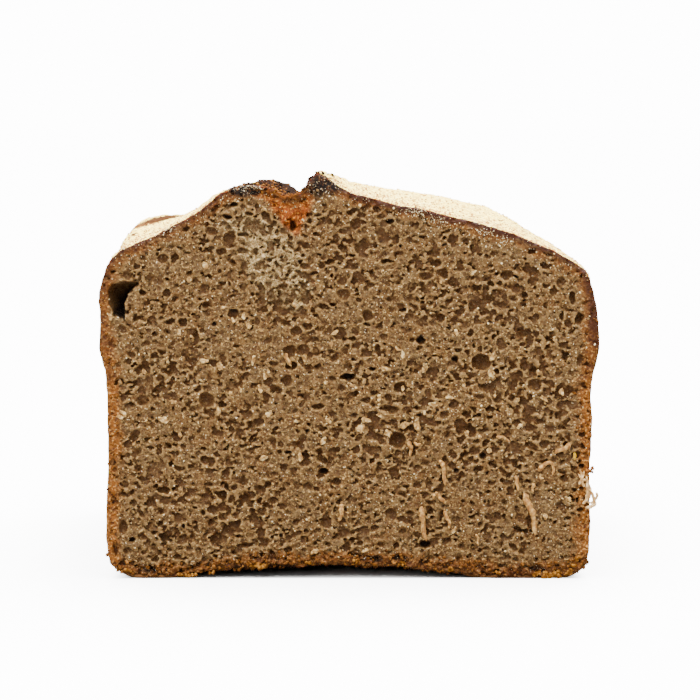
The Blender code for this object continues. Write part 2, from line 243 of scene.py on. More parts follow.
# The rim of the cut, worn a little all round and more along the floor, and which way it faces.
turns = np.linspace(-math.pi, math.pi, RIM_TURNS, endpoint=False)
rim = np.array([skin_point(a, 0.05) for a in turns])
rim_radius = np.hypot(rim[:, 0], rim[:, 2] - HEART) - FACE_INSET
near_floor = ease(-rim[:, 2], -6, -2)
rim_radius -= (RIM_WORN + FLOOR_WORN * near_floor) * (1 + lumps(rim[:, 0], 0, rim[:, 2], 1.1, 10))
fine_turns = np.linspace(-math.pi, math.pi, FINE_TURNS, endpoint=False)
rim_turns = np.arctan2(rim[:, 2] - HEART, rim[:, 0])
fine_radius = np.interp(fine_turns, rim_turns, rim_radius, period=2 * math.pi)
rim_x = np.cos(fine_turns) * fine_radius
rim_z = HEART + np.sin(fine_turns) * fine_radius
along_x, along_z = (np.roll(line, -SLOPE_STEPS) - np.roll(line, SLOPE_STEPS) for line in (rim_x, rim_z))
rim_up = -along_x / np.hypot(along_x, along_z)

# The grid of the face, with each point's gap to the rim.
across = np.arange(-58.2, 58.3, PITCH)
up = np.arange(-0.4, 94.2, PITCH)
face_x, face_z = np.meshgrid(across, up)
nearest = KDTree(len(rim_x))
for i, place in enumerate(zip(rim_x, rim_z)):
    nearest.insert((*place, 0), i)
nearest.balance()
near = np.array([nearest.find((x, z, 0))[1:] for x, z in zip(face_x.ravel(), face_z.ravel())])
near_rim = near[:, 0].astype(int).reshape(face_x.shape)
rim_gap = near[:, 1].reshape(face_x.shape)
face_turn = np.arctan2(face_z - HEART, face_x)
rim_here = np.interp(face_turn, fine_turns, fine_radius, period=2 * math.pi)
inside = np.hypot(face_x, face_z - HEART) < rim_here
facing_up = rim_up[near_rim]

# The dry, pale zone under the split and the orange zone where the dough tore.
DRY_PATCHES = (
    # Across, up, half width and half height.
    (-19.5, 77.2, 6.5, 5.5), (-17.0, 70.2, 6.0, 6.0), (-13.5, 65.2, 4.5, 4.0),
    (-24.5, 81.3, 3.5, 2.5),
)
dry = sum(spot(face_x, face_z, *patch) for patch in DRY_PATCHES)
ragged = lumps(face_x, 0, face_z, 2.4, 11)
dry = ease(dry + 0.28 * ragged, 0.35, 0.75)
torn = spot(face_x, face_z, -15.2, 88.2, 7.5, 4.2) + spot(face_x, face_z, -12.6, 82.8, 3.2, 4.2)
torn = ease(torn + 0.25 * ragged, 0.42, 0.85)

# Bubbles: how many in a cubic centimetre, half width, and depth behind the cut they lie in.
BUBBLE_KINDS = (
    (1900, (0.28, 0.48), 0.9),
    (600, (0.48, 0.85), 1.0),
    (75, (0.85, 1.25), 1.1),
    (5, (1.25, 1.7), 1.2),
)
BUBBLE_FLATNESS = (0.66, 1.05)
MEMBRANE = 0.06
DRY_BUBBLES = (2200, (-29, -5), (57, 86), (0.30, 0.62))
MARKED_PORES = (
    # Across, up, half width, half height and how deep for its size.
    (-32.8, 41.2, 1.85, 1.85, 1.1), (30.3, 50.0, 2.25, 2.00, 1.2), (42.5, 44.8, 1.80, 1.60, 0.9),
    (11.1, 32.0, 2.10, 2.10, 1.3), (-13.6, 52.6, 1.75, 1.50, 1.0), (-10.5, 52.8, 1.55, 1.45, 1.0),
    (-12.1, 57.1, 1.55, 1.15, 1.1), (-14.4, 45.8, 1.25, 1.50, 1.1), (-0.2, 46.6, 1.80, 1.00, 2.0),
    (4.1, 60.7, 1.35, 1.40, 1.2), (-1.3, 65.5, 1.65, 1.35, 0.9), (36.0, 70.0, 1.45, 1.35, 1.1),
    (48.4, 68.5, 1.25, 1.25, 1.1), (-42.6, 73.7, 1.35, 1.00, 1.1), (-31.3, 79.9, 1.50, 0.95, 1.0),
    (-29.2, 75.4, 1.25, 1.05, 1.2), (-43.3, 68.4, 1.25, 2.00, 0.5), (-45.9, 45.4, 1.25, 2.60, 0.5),
    (-42.7, 20.5, 1.45, 1.05, 1.7), (-52.0, 11.8, 1.10, 1.90, 1.0), (-52.2, 57.6, 1.10, 1.10, 0.9),
    (-10.0, 26.8, 1.50, 0.95, 1.1), (-5.8, 24.9, 1.40, 0.75, 2.0), (9.7, 14.8, 1.50, 1.50, 0.8),
    (-17.5, 18.1, 1.40, 1.05, 1.0), (17.5, 8.0, 1.40, 1.05, 2.0), (24.6, 13.8, 1.40, 1.00, 0.8),
    (17.5, 69.6, 1.80, 0.90, 1.0), (9.2, 39.2, 2.60, 1.00, 1.1), (24.0, 40.4, 1.40, 1.15, 1.0),
    (46.0, 34.8, 1.60, 1.15, 0.7), (52.9, 50.5, 0.95, 1.60, 1.0), (-12.8, 81.1, 0.75, 1.15, 3.0),
    (5.4, 48.6, 0.85, 0.55, 2.4), (24.3, 50.8, 0.95, 0.95, 2.0), (16.1, 37.7, 0.80, 0.50, 2.4),
    (-9.7, 34.0, 0.65, 0.60, 2.0), (-10.1, 29.6, 0.60, 0.40, 2.2), (24.5, 25.1, 0.75, 0.75, 2.2),
    (16.3, 55.1, 1.15, 1.00, 2.0), (0.6, 55.3, 1.05, 0.80, 1.6), (19.6, 51.5, 1.00, 0.60, 1.6),
    (-7.1, 39.8, 1.70, 0.75, 1.4), (1.2, 37.7, 1.00, 0.60, 1.8), (3.9, 41.3, 1.30, 0.70, 1.5),
    (-1.8, 44.0, 1.10, 0.75, 1.4), (-3.8, 46.2, 1.00, 0.80, 1.2), (21.8, 37.9, 1.10, 1.10, 1.1),
    (18.1, 42.8, 0.95, 1.10, 0.9), (-46.9, 17.3, 0.45, 0.35, 2.2), (-32.2, 21.9, 1.25, 0.60, 1.3),
    (-26.2, 14.5, 0.80, 0.60, 1.6), (-27.2, 12.8, 0.55, 0.50, 1.6), (-22.0, 11.5, 0.65, 0.50, 1.6),
    (-15.8, 10.0, 0.60, 0.60, 2.0), (-23.9, 7.7, 2.30, 0.60, 1.0), (-44.5, 9.3, 0.40, 0.40, 2.2),
    (-49.9, 8.9, 0.80, 0.60, 2.0), (-41.0, 12.8, 0.60, 0.55, 1.4), (-37.9, 12.1, 0.50, 0.60, 2.0),
    (-26.4, 21.2, 0.80, 0.75, 1.6), (-36.4, 24.9, 0.50, 0.50, 1.6), (-14.1, 29.2, 0.90, 0.50, 2.0),
    (-26.8, 25.6, 0.70, 0.45, 1.8), (-28.7, 23.4, 1.20, 0.75, 1.0), (30.7, 28.5, 0.90, 0.90, 2.0),
    (32.7, 22.2, 1.20, 0.60, 1.2), (35.7, 17.8, 0.80, 0.80, 1.4), (36.2, 19.8, 0.50, 0.35, 2.0),
    (14.0, 15.2, 1.10, 0.70, 1.5), (51.2, 23.6, 0.65, 0.85, 1.4), (50.9, 16.6, 1.00, 0.60, 1.2),
    (34.7, 11.7, 1.00, 0.45, 1.2), (45.7, 6.0, 0.40, 0.40, 2.2), (31.1, 17.7, 0.50, 0.40, 2.0),
    (23.3, 22.7, 0.70, 0.70, 1.6), (17.4, 26.7, 1.30, 0.70, 1.0), (40.6, 24.5, 1.20, 0.40, 1.2),
    (-53.8, 6.6, 0.80, 1.70, 0.8), (-37.3, 80.4, 0.90, 0.75, 1.6), (-27.8, 83.3, 1.00, 0.60, 2.0),
    (-26.4, 85.9, 1.10, 0.65, 2.0), (-46.3, 74.6, 0.50, 0.50, 1.5), (-47.3, 73.7, 0.75, 0.60, 1.5),
    (-53.9, 70.6, 0.90, 0.70, 1.4), (-31.1, 84.7, 0.75, 0.60, 1.4), (-36.7, 70.5, 0.80, 0.60, 1.8),
    (-26.4, 61.8, 1.10, 0.55, 2.0), (-30.8, 58.8, 0.60, 0.45, 2.0), (-43.0, 60.0, 0.85, 0.60, 1.4),
    (-44.4, 64.1, 1.20, 0.30, 1.4), (41.6, 75.4, 0.95, 0.85, 1.7), (38.0, 69.6, 0.90, 0.40, 2.2),
    (32.4, 68.1, 0.90, 0.75, 1.8), (37.4, 64.6, 1.05, 0.80, 1.2), (40.2, 64.2, 0.60, 0.45, 2.0),
    (51.1, 64.7, 0.80, 1.50, 1.6), (52.6, 60.1, 1.00, 1.50, 1.6), (48.6, 60.6, 0.60, 1.30, 1.6),
    (33.1, 74.7, 0.95, 0.65, 1.3), (15.4, 77.6, 1.00, 0.60, 1.2), (24.1, 76.7, 0.80, 0.50, 1.6),
    (21.6, 76.8, 0.50, 0.35, 2.2), (21.5, 74.8, 0.60, 0.65, 1.5), (11.8, 76.7, 0.50, 0.50, 2.2),
    (25.2, 71.3, 1.50, 0.50, 1.2), (12.3, 62.0, 0.95, 0.60, 2.0), (21.5, 62.7, 1.10, 0.50, 1.6),
    (32.2, 59.3, 0.75, 0.35, 2.0), (46.8, 65.0, 1.20, 0.80, 0.5), (32.7, 70.9, 0.75, 0.50, 1.4),
    (25.3, 80.3, 0.40, 0.40, 2.2), (15.0, 79.0, 0.80, 0.35, 1.6), (21.0, 79.0, 0.70, 0.40, 1.6),
    (44.6, 70.5, 0.60, 0.50, 1.4), (-22.9, 83.9, 1.20, 0.60, 1.8), (-24.1, 79.2, 1.30, 0.60, 2.0),
    (-24.4, 75.5, 1.50, 0.70, 1.2), (-14.7, 76.2, 0.50, 0.60, 2.2), (-11.2, 77.1, 1.10, 0.70, 1.3),
    (-7.1, 83.6, 1.00, 0.60, 1.4), (-4.4, 72.9, 1.20, 0.80, 1.8), (-12.4, 69.4, 0.65, 0.65, 1.8),
    (-8.1, 70.4, 1.40, 0.40, 1.6), (-3.0, 75.0, 0.70, 0.50, 1.6), (3.5, 74.4, 1.10, 0.60, 1.4),
    (3.2, 81.9, 1.10, 0.60, 1.3), (7.2, 83.4, 1.10, 0.70, 1.3), (9.3, 82.2, 0.90, 0.70, 2.0),
    (7.4, 77.6, 0.50, 0.40, 2.2), (-16.0, 65.5, 0.80, 1.00, 2.0), (-18.3, 67.9, 0.90, 0.80, 1.2),
    (-18.3, 70.5, 0.80, 0.40, 1.4), (-6.9, 74.7, 0.50, 0.50, 2.0), (-26.7, 79.8, 1.10, 0.70, 1.0),
    (4.8, 67.6, 1.30, 0.60, 1.4), (8.7, 73.1, 1.60, 0.60, 1.8), (-29.6, 70.8, 0.50, 0.70, 1.8),
)
# How deep for its size a marked pore must be to get a painted shadow, nearly black.
PAINTED_SHADOW_FROM = 2.0
# The big hollow's outline, across and up: first the wall that slopes in, then the steep one.
HOLLOW_DEPTH = 9.5
HOLLOW_SLOPE = 1.7
HOLLOW_SLOPING = (
    (-48.3, 68.6), (-51.5, 68.7), (-54.2, 68.0), (-55.4, 66.1), (-55.0, 63.1), (-53.8, 61.2), (-51.5, 59.6),
)
HOLLOW_STEEP = ((-51.5, 59.6), (-51.2, 63.4), (-50.0, 66.2), (-48.1, 67.7), (-48.3, 68.6))

# Flour that fell from the crown on the cut: across, up, half width and half height.
FLOUR_SPILLS = (
    (15.5, 84.4, 2.6, 1.0), (20.5, 82.5, 2.2, 0.9), (31.0, 80.0, 1.6, 1.1),
    (35.0, 78.0, 1.8, 1.0), (-25.2, 90.2, 3.0, 0.6), (-20.3, 90.4, 1.6, 0.6),
    (-41.5, 80.4, 1.6, 1.0),
)

draw = np.random.default_rng(20)
bubbles = []
for per_cc, sizes, reach in BUBBLE_KINDS:
    volume = (across[-1] - across[0]) * (up[-1] - up[0]) * (reach + sizes[1]) / 1000
    count = int(per_cc * volume)
    wide = draw.uniform(*sizes, count)
    tall = wide * draw.uniform(*BUBBLE_FLATNESS, count)
    deep = wide * draw.uniform(0.55, 0.9, count)
    bubbles.append(np.stack([
        draw.uniform(across[0], across[-1], count),
        draw.uniform(up[0], up[-1], count),
        draw.uniform(-sizes[1], reach, count),
        wide, tall, deep,
    ], axis=1))
count, span_x, span_z, sizes = DRY_BUBBLES
wide = draw.uniform(*sizes, count)
bubbles.append(np.stack([
    draw.uniform(*span_x, count), draw.uniform(*span_z, count), draw.uniform(-0.3, 0.9, count),
    wide, wide * draw.uniform(0.7, 1.3, count), wide,
], axis=1))
bubbles = np.concatenate(bubbles)


def read_face(field, x, z):
    """Reads a field of the face between its grid points."""
    i = np.clip((z - up[0]) / PITCH, 0, len(up) - 1.001)
    j = np.clip((x - across[0]) / PITCH, 0, len(across) - 1.001)
    row, column = i.astype(int), j.astype(int)
    di, dj = i - row, j - column
    below = field[row, column] * (1 - dj) + field[row, column + 1] * dj
    above = field[row + 1, column] * (1 - dj) + field[row + 1, column + 1] * dj
    return below * (1 - di) + above * di


signed_gap = np.where(inside, rim_gap, -rim_gap)
from_rim = read_face(signed_gap, bubbles[:, 0], bubbles[:, 1])
finer = 0.72 + 0.28 * ease(from_rim, 0.5, 6.0)
finer *= 1 - 0.15 * read_face(dry, bubbles[:, 0], bubbles[:, 1])
finer *= 1 + 0.22 * lumps(bubbles[:, 0], 0, bubbles[:, 1], 9.0, 12)
bubbles[:, 3:] *= finer[:, None]
in_dry = read_face(dry, bubbles[:, 0], bubbles[:, 1]) > 0.3
extra = np.arange(len(bubbles)) >= len(bubbles) - DRY_BUBBLES[0]
bubbles = bubbles[(from_rim > -1) & (in_dry | ~extra)]
marked = np.array([(x, z, 0, a, b, deep * (a + b) / 2) for x, z, a, b, deep in MARKED_PORES])
clear = np.ones(len(bubbles), bool)
for x, z, half_x, half_z, _ in MARKED_PORES:
    clear &= np.hypot((bubbles[:, 0] - x) / (half_x + 0.35), (bubbles[:, 1] - z) / (half_z + 0.35)) > 1
bubbles = bubbles[clear]
bubbles = np.concatenate([marked, bubbles])
bubbles = bubbles[np.argsort(bubbles[:, 2] - bubbles[:, 5])]

# The knife opened each bubble that it reached, and those that open into an opened one.
opened = np.full_like(face_x, MEMBRANE)
warped_x, warped_z = (
    grid + 0.20 * lumps(face_x, 0, face_z, 1.1, seed) + 0.10 * lumps(face_x, 0, face_z, 0.5, seed + 1)
    for grid, seed in ((face_x, 27), (face_z, 29))
)
for carving in range(2):
    for x, z, y, wide, tall, deep in bubbles:
        j0, j1 = np.searchsorted(across, (x - wide - 0.3, x + wide + 0.3))
        i0, i1 = np.searchsorted(up, (z - tall - 0.3, z + tall + 0.3))
        if j0 == j1 or i0 == i1:
            continue
        here = np.s_[i0:i1, j0:j1]
        flat = 1 - ((warped_x[here] - x) / wide) ** 2 - ((warped_z[here] - z) / tall) ** 2
        half = deep * np.sqrt(np.maximum(flat, 0))
        patch = opened[here]
        reached = (flat > 0) & (y - half <= patch - MEMBRANE) & (y + half > patch)
        patch[reached] = (y + half)[reached]
opened = np.clip(opened - MEMBRANE, 0, SLAB - 2.5)


def wall_distance(x, z, corners):
    """How far points are from a bent line through those corners."""
    least = np.full_like(x, 1e3)
    for (x0, z0), (x1, z1) in zip(corners, corners[1:]):
        length = math.hypot(x1 - x0, z1 - z0)
        share = np.clip(((x - x0) * (x1 - x0) + (z - z0) * (z1 - z0)) / length ** 2, 0, 1)
        least = np.minimum(least, np.hypot(x - x0 - share * (x1 - x0), z - z0 - share * (z1 - z0)))
    return least


# The hollow: one wall slopes in gently, the other is steep, and beside it the hollow gets a painted shadow.
in_hollow = np.zeros_like(inside)
outline = HOLLOW_SLOPING + HOLLOW_STEEP[1:]
bent_x = face_x + 0.15 * lumps(face_x, 2, face_z, 1.2, 25)
for (x0, z0), (x1, z1) in zip(outline, outline[1:]):
    crosses = (z0 > face_z) != (z1 > face_z)
    if z0 != z1:
        in_hollow ^= crosses & (bent_x < x0 + (face_z - z0) * (x1 - x0) / (z1 - z0))
sloping = 1 - np.exp(-wall_distance(bent_x, face_z, HOLLOW_SLOPING) / HOLLOW_SLOPE)
from_steep = wall_distance(bent_x, face_z, HOLLOW_STEEP)
opened = np.where(in_hollow, HOLLOW_DEPTH * sloping * ease(from_steep, 0, 0.5), opened)
smooth_wall = in_hollow.astype(float)
in_shadow = in_hollow * (1 - ease(from_steep + 0.5 * (face_z - 64.2), 0.6, 3.4))
# Marked pores that deep get a painted shadow, nearly black.
for x, z, half_x, half_z, deep in MARKED_PORES:
    if deep >= PAINTED_SHADOW_FROM:
        pit_shadow = ease(spot(warped_x, warped_z, x, z, half_x, half_z), 0.42, 0.72)
        in_shadow = np.maximum(in_shadow, 0.85 * pit_shadow)


def soften(values, spread, axis, closed):
    """Blurs a grid of values along one axis."""
    reach = int(3 * spread)
    weights = np.exp(-0.5 * (np.arange(-reach, reach + 1) / spread) ** 2)
    weights /= weights.sum()
    pad = [(0, 0)] * values.ndim
    pad[axis] = (reach, reach)
    wide = np.pad(values, pad, mode="wrap" if closed else "edge")
    size = values.shape[axis]
    return sum(w * np.take(wide, range(k, k + size), axis) for k, w in enumerate(weights))


# Thin walls beside opened bubbles, tinted lighter: painted light, as if light shone through them.
around_it = soften(soften(np.minimum(opened, 1.0), 2.2, 0, False), 2.2, 1, False)
thin_wall = ease(around_it - opened, 0.12, 0.42)

# How deep each point of the face lies: bubbles, waves, a rounded rim, the torn bottom crust, the
# crumbly dry zone and the sunken torn zone.
relief = opened + 0.16 * lumps(face_x, 3, face_z, 7.0, 13) + 0.07 * lumps(face_x, 5, face_z, 0.7, 14)
relief += 0.12 * np.exp(-rim_gap / 0.3)
floor_band = ease(-facing_up, 0.4, 0.8) * (1 - ease(rim_gap, 1.6, 3.4))
holes = ease(lumps(face_x, 11, face_z * 1.5, 1.4, 19), 0.1, 0.6)
relief += floor_band * (0.9 * holes + 0.25 * lumps(face_x, 12, face_z, 0.6, 20))
relief += dry * 0.30 * lumps(face_x, 7, face_z, 0.6, 15) - 0.2 * dry
relief += torn * (0.9 + 0.7 * lumps(face_x, 9, face_z, 1.1, 16))
relief = np.maximum(relief, -0.35)

# How far the crust's browning reaches in, where it is baked darker, where it is burnt, and the painted
# shade in the bottom crust's holes.
SIDE_CRUST, BOTTOM_CRUST, TOP_CRUST = 3.4, 3.1, 2.6
wall_of = np.where(facing_up < -0.6, BOTTOM_CRUST, np.where(facing_up > 0.45, TOP_CRUST, SIDE_CRUST))
wobble = 1 + 0.28 * lumps(face_x, 0, face_z, 3.2, 17) + 0.15 * lumps(face_x, 0, face_z, 1.0, 18)
browned = 1 - ease(rim_gap / (wall_of * wobble), 0.45, 1.25)
baked = ease(face_z + 2 * ragged, 44, 50) * ease(facing_up, -0.4, 0.05)
baked = np.maximum(baked, 0.65 * ease(-facing_up, 0.4, 0.8))
baked *= 1 - ease(rim_gap / (wall_of * wobble), 0.35, 0.95)
# The right side is drawn darker than the left.
baked *= 0.85 + 0.15 * np.sign(face_x)
top_line = (1 - ease(rim_gap / wobble, 0.25, 0.8)) * ease(facing_up, 0.2, 0.5)
gaps = ease(lumps(face_x, 13, face_z, 1.3, 26), 0.0, 0.6) * (rim_gap > 0.6)
browned *= 1 - 0.45 * ease(facing_up, 0.2, 0.5) * gaps
split_char = spot(face_x, face_z, -24.0, 89.6, 4.6, 2.0) + 1.3 * spot(face_x, face_z, -4.8, 90.6, 5.0, 3.4)
split_char = ease(split_char + 0.3 * ragged, 0.35, 0.9)
# The bottom crust is a little darker all along, and painted shade darkens its holes.
bottom_bake_and_hole_shade = floor_band * (0.75 * holes + 0.1)
burnt = np.clip(np.maximum(split_char, bottom_bake_and_hole_shade), 0, 1)

# The mesh: the grid's cells inside the rim, with the outer points moved on to it, then thinned.
cells = inside[:-1, :-1] & inside[1:, :-1] & inside[:-1, 1:] & inside[1:, 1:]
for _ in range(4):
    padded = np.pad(cells, 1).astype(int)
    neighbours = padded[:-2, 1:-1] + padded[2:, 1:-1] + padded[1:-1, :-2] + padded[1:-1, 2:]
    cells &= neighbours >= 2
padded = np.pad(cells, 1).astype(int)
touching = padded[:-1, :-1] + padded[1:, :-1] + padded[:-1, 1:] + padded[1:, 1:]
used = touching > 0
at_edge = used & (touching < 4)
flat_x = np.where(at_edge, rim_x[near_rim], face_x)
flat_z = np.where(at_edge, rim_z[near_rim], face_z)
number = np.cumsum(used.ravel()).reshape(used.shape) - 1
corners = np.stack([number[:-1, :-1], number[:-1, 1:], number[1:, 1:], number[1:, :-1]], axis=-1)[cells]
points = np.stack([flat_x[used], relief[used], flat_z[used]], axis=1)
face_data = bpy.data.meshes.new("crumb")
face_data.from_pydata(points, [], corners.tolist())
crumb = new_object("crumb", face_data)
thin = crumb.modifiers.new("thin", "DECIMATE")
thin.ratio = FACE_TRIANGLES / (2 * len(corners))
evaluated = crumb.evaluated_get(bpy.context.evaluated_depsgraph_get())
face_data = bpy.data.meshes.new_from_object(evaluated)
crumb.modifiers.remove(thin)
crumb.data = face_data

points = np.array([v.co for v in face_data.vertices])
x, y, z = points.T
calm = np.clip(read_face(rim_gap, x, z) / 0.8, 0, 1)
face_grids = {
    "opened": opened, "browned": browned, "baked": baked, "burnt": burnt, "top_line": top_line,
    "thin_wall": thin_wall, "smooth_wall": smooth_wall, "in_shadow": in_shadow, "dry": dry, "torn": torn,
}
face_fields = {name: read_face(grid, x, z) for name, grid in face_grids.items()}
shallow = 1 - ease(face_fields["opened"], 0.15, 0.6)
inner = ease(read_face(rim_gap, x, z), 1.2, 3.0)
high_right = ease(x + 0.6 * z, 35, 75)
floor_side = ease(-read_face(facing_up, x, z), 0.4, 0.8)
under_flour = ease(read_face(facing_up, x, z), 0.3, 0.6) * (1 - ease(read_face(rim_gap, x, z), 2.0, 4.5))
face_fields.update({
    "flake_room": shallow * inner * (0.25 + np.exp(-((z - 42) / 16) ** 2)) * (1 - face_fields["torn"]),
    "bit_room": shallow * inner,
    "speck_room": shallow * (0.3 + high_right) * (z > 1),
    "crumbly": face_fields["browned"] * (0.4 + 0.9 * floor_side) * shallow * (z > 1) * (z < 70),
    "spilled": sum(spot(x, z, *place) for place in FLOUR_SPILLS) + 0.05 * under_flour,
})
for axis, seed in ((0, 21), (2, 23)):
    points[:, axis] += calm * (0.24 * lumps(x, y, z, 1.3, seed) + 0.08 * lumps(x, y, z, 0.5, seed + 1))
points[:, 1] += CUT / MM
face_data.vertices.foreach_set("co", (points * MM).ravel())


def write_fields(mesh, fields):
    """Writes a value for every point into a mesh, for its shader and for what is scattered on it."""
    for name, values in fields.items():
        layer = mesh.attributes.new(name, "FLOAT", "POINT")
        layer.data.foreach_set("value", values)


write_fields(face_data, face_fields)
crumb_sheet = new_object("crumb_sheet", face_data.copy())

# The slab behind the face: walls that run back inside the crust, and a flat back.
body = bmesh.new()
body.from_mesh(face_data)
edge = [e for e in body.edges if e.is_boundary]
for inset, tucked, behind in ((WALL_INSET, 0, WALL_BEHIND), (0, 1, SLAB)):
    grown = bmesh.ops.extrude_edge_only(body, edges=edge)["geom"]
    for v in grown:
        if isinstance(v, bmesh.types.BMVert):
            out = Vector((v.co.x, 0, v.co.z - HEART * MM)).normalized()
            v.co -= out * (inset + tucked * tuck(v.co.x / MM, v.co.z / MM)) * MM
            v.co.y = CUT + behind * MM
    edge = [e for e in grown if isinstance(e, bmesh.types.BMEdge) and e.is_boundary]
middle = body.verts.new((0, CUT + SLAB * MM, HEART * MM))
for e in edge:
    body.faces.new((*e.verts, middle))
bmesh.ops.recalc_face_normals(body, faces=body.faces)
body.to_mesh(face_data)
body.free()
face_data.shade_smooth()

# Inputs and output of a Mix node for colours.
MIX_FACTOR, MIX_A, MIX_B, MIXED = 0, 6, 7, 2


def tinted(tree, colour, layers):
    """Lays tints over a colour. Each layer has a value, where the tint starts to show and where it
    shows most, its share there, and the tint, in hex or from a node."""
    for value, start, most, share, tint in layers:
        factor = add(tree, "ShaderNodeMapRange", {
            "Value": value, LEAST: start, MOST: most, TO_LEAST: 0.0, TO_MOST: share,
        }).outputs[0]
        colour = add(tree, "ShaderNodeMix", {
            MIX_FACTOR: factor, MIX_A: colour, MIX_B: linear(tint) if isinstance(tint, str) else tint,
        }, data_type="RGBA").outputs[MIXED]
    return colour


def finish_surface(tree, shader, colour, height, strength, reach, roughness, gloss):
    """Gives a shader its colour, its finest relief, its roughness and its gloss."""
    bump = add(tree, "ShaderNodeBump", {"Height": height, "Strength": strength, "Distance": reach * MM})
    tree.links.new(colour, shader.inputs["Base Color"])
    tree.links.new(bump.outputs["Normal"], shader.inputs["Normal"])
    shader.inputs["Roughness"].default_value = roughness
    shader.inputs["Specular IOR Level"].default_value = gloss


# Moist sour rye crumb, cut with a knife. Its browns change from lump to lump and light goes a little
# way in. Painted shade darkens its bubbles, painted light brightens the thin walls between them,
# and the glints and sparkles of its moist, starchy surface are painted highlights.
CRUMB_NOISES = (
    # Name, lump size and detail.
    ("bend", 1.2, 3.0), ("blotch", 3.4, 3.0), ("grain", 0.8, 4.0), ("glint", 0.6, 2.0),
    ("sparkle", 0.42, 0.0), ("dough", 1.5, 2.0),
)
WEB_SIZES = (1.4, 0.75)
crumb_matter, tree, shader = new_material("moist_rye_crumb")
where = add(tree, "ShaderNodeTexCoord").outputs["Object"]
fields = {n: add(tree, "ShaderNodeAttribute", attribute_name=n).outputs["Fac"] for n in face_fields}
noises = {
    name: add(tree, "ShaderNodeTexNoise", {
        "Vector": where, "Scale": 1 / (size * MM), "Detail": detail,
    }).outputs
    for name, size, detail in CRUMB_NOISES
}
blotch, grain, glint, sparkle, dough = (noises[name]["Fac"] for name, _, _ in CRUMB_NOISES[1:])
bend = add(tree, "ShaderNodeVectorMath", {
    0: noises["bend"]["Color"], 1: (1.2 * MM,) * 3, 2: where,
}, operation="MULTIPLY_ADD").outputs[0]
wide_web, fine_web = (
    add(tree, "ShaderNodeTexVoronoi", {
        "Vector": bend, "Scale": 1 / (size * MM),
    }, feature="DISTANCE_TO_EDGE").outputs["Distance"]
    for size in WEB_SIZES
)
# Painted shade: the deeper the knife opened the crumb, the darker its tint, and less again deep in the
# hollow.
shallow_shade, deep_shade = (
    add(tree, "ShaderNodeMapRange", {
        "Value": fields["opened"], LEAST: start, MOST: most, TO_MOST: share,
    }).outputs[0]
    for start, most, share in ((0.05, 0.9, 0.8), (2.5, 6.0, 0.6))
)
shade = add(tree, "ShaderNodeMath", {0: shallow_shade, 1: deep_shade}, operation="SUBTRACT").outputs[0]
# The glint and sparkle layers are painted highlights; the shade layer is painted shade.
crumb_tint = tinted(tree, linear("#533b1f"), (
    (blotch, 0.48, 0.66, 0.75, "#553411"),
    (blotch, 0.50, 0.34, 0.6, "#564228"),
    (dough, 0.50, 0.38, 0.6, "#3c230e"),
    (dough, 0.54, 0.66, 0.6, "#785931"),
    (wide_web, 0.14, 0.40, 0.4, "#3d250f"),
    (grain, 0.48, 0.36, 0.55, "#38210c"),
    (wide_web, 0.09, 0.01, 0.4, "#866a40"),
    (fine_web, 0.12, 0.01, 0.25, "#7d6038"),
    (fields["thin_wall"], 0.1, 1.0, 0.75, "#8e6f43"),
    (glint, 0.58, 0.68, 0.75, "#b7935a"),
    (sparkle, 0.75, 0.84, 0.9, "#e2cca4"),
    (shade, 0.0, 1.0, 1.0, "#41260f"),
    (fields["smooth_wall"], 0.3, 1.0, 0.85, "#523a1f"),
    (fields["in_shadow"], 0.0, 1.0, 1.0, "#0f0703"),
))
# In these tints too, glint and sparkle layers are painted highlights and shade layers painted shade.
dry_tint = tinted(tree, linear("#7a623b"), (
    (grain, 0.50, 0.36, 0.8, "#4d3317"),
    (fine_web, 0.10, 0.01, 0.7, "#b89c6c"),
    (glint, 0.54, 0.66, 0.9, "#c4a878"),
    (shade, 0.0, 1.0, 1.0, "#3f240c"),
))
torn_tint = tinted(tree, linear("#723206"), (
    (blotch, 0.46, 0.60, 0.8, "#662b08"),
    (grain, 0.50, 0.38, 0.85, "#4a2209"),
    (fine_web, 0.10, 0.01, 0.6, "#9c561b"),
    (glint, 0.56, 0.68, 0.95, "#c67e30"),
    (shade, 0.0, 1.0, 1.0, "#44200a"),
))
crust_tint = tinted(tree, linear("#704112"), (
    (grain, 0.50, 0.36, 0.85, "#3a1b09"),
    (glint, 0.53, 0.66, 0.9, "#b07d42"),
    (fields["baked"], 0.0, 1.0, 0.95, "#371908"),
    (shade, 0.0, 1.0, 1.0, "#2a1104"),
))
burnt_tint = tinted(tree, linear("#130a05"), (
    (grain, 0.54, 0.66, 0.8, "#45260f"),
    (glint, 0.60, 0.70, 0.9, "#80603f"),
    (sparkle, 0.72, 0.80, 0.9, "#cdbb9c"),
))
colour = tinted(tree, crumb_tint, (
    (fields["dry"], 0.0, 1.0, 1.0, dry_tint),
    (fields["torn"], 0.0, 1.0, 1.0, torn_tint),
    (fields["browned"], 0.0, 1.0, 1.0, crust_tint),
    (fields["top_line"], 0.0, 1.0, 1.0, "#2c1308"),
    (fields["burnt"], 0.0, 1.0, 1.0, burnt_tint),
))
rough_height = add(tree, "ShaderNodeMath", {0: grain, 1: glint}, operation="ADD").outputs[0]
cell_height = add(tree, "ShaderNodeMath", {
    0: wide_web, 1: -1.4, 2: rough_height,
}, operation="MULTIPLY_ADD").outputs[0]
finish_surface(tree, shader, colour, cell_height, 0.9, 0.4, 0.5, 0.1)
shader.inputs["Subsurface Weight"].default_value = 0.35
shader.inputs["Subsurface Radius"].default_value = (1.0, 0.55, 0.25)
shader.inputs["Subsurface Scale"].default_value = 0.6 * MM
face_data.materials.append(crumb_matter)
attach(crumb, "root")
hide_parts("rye_loaf")


# Crust. The same dough, dried and browned against the tin: tan and pitted below the tin's
# rim, redder over it, dark along the split, and dusted with rye flour on the crown.

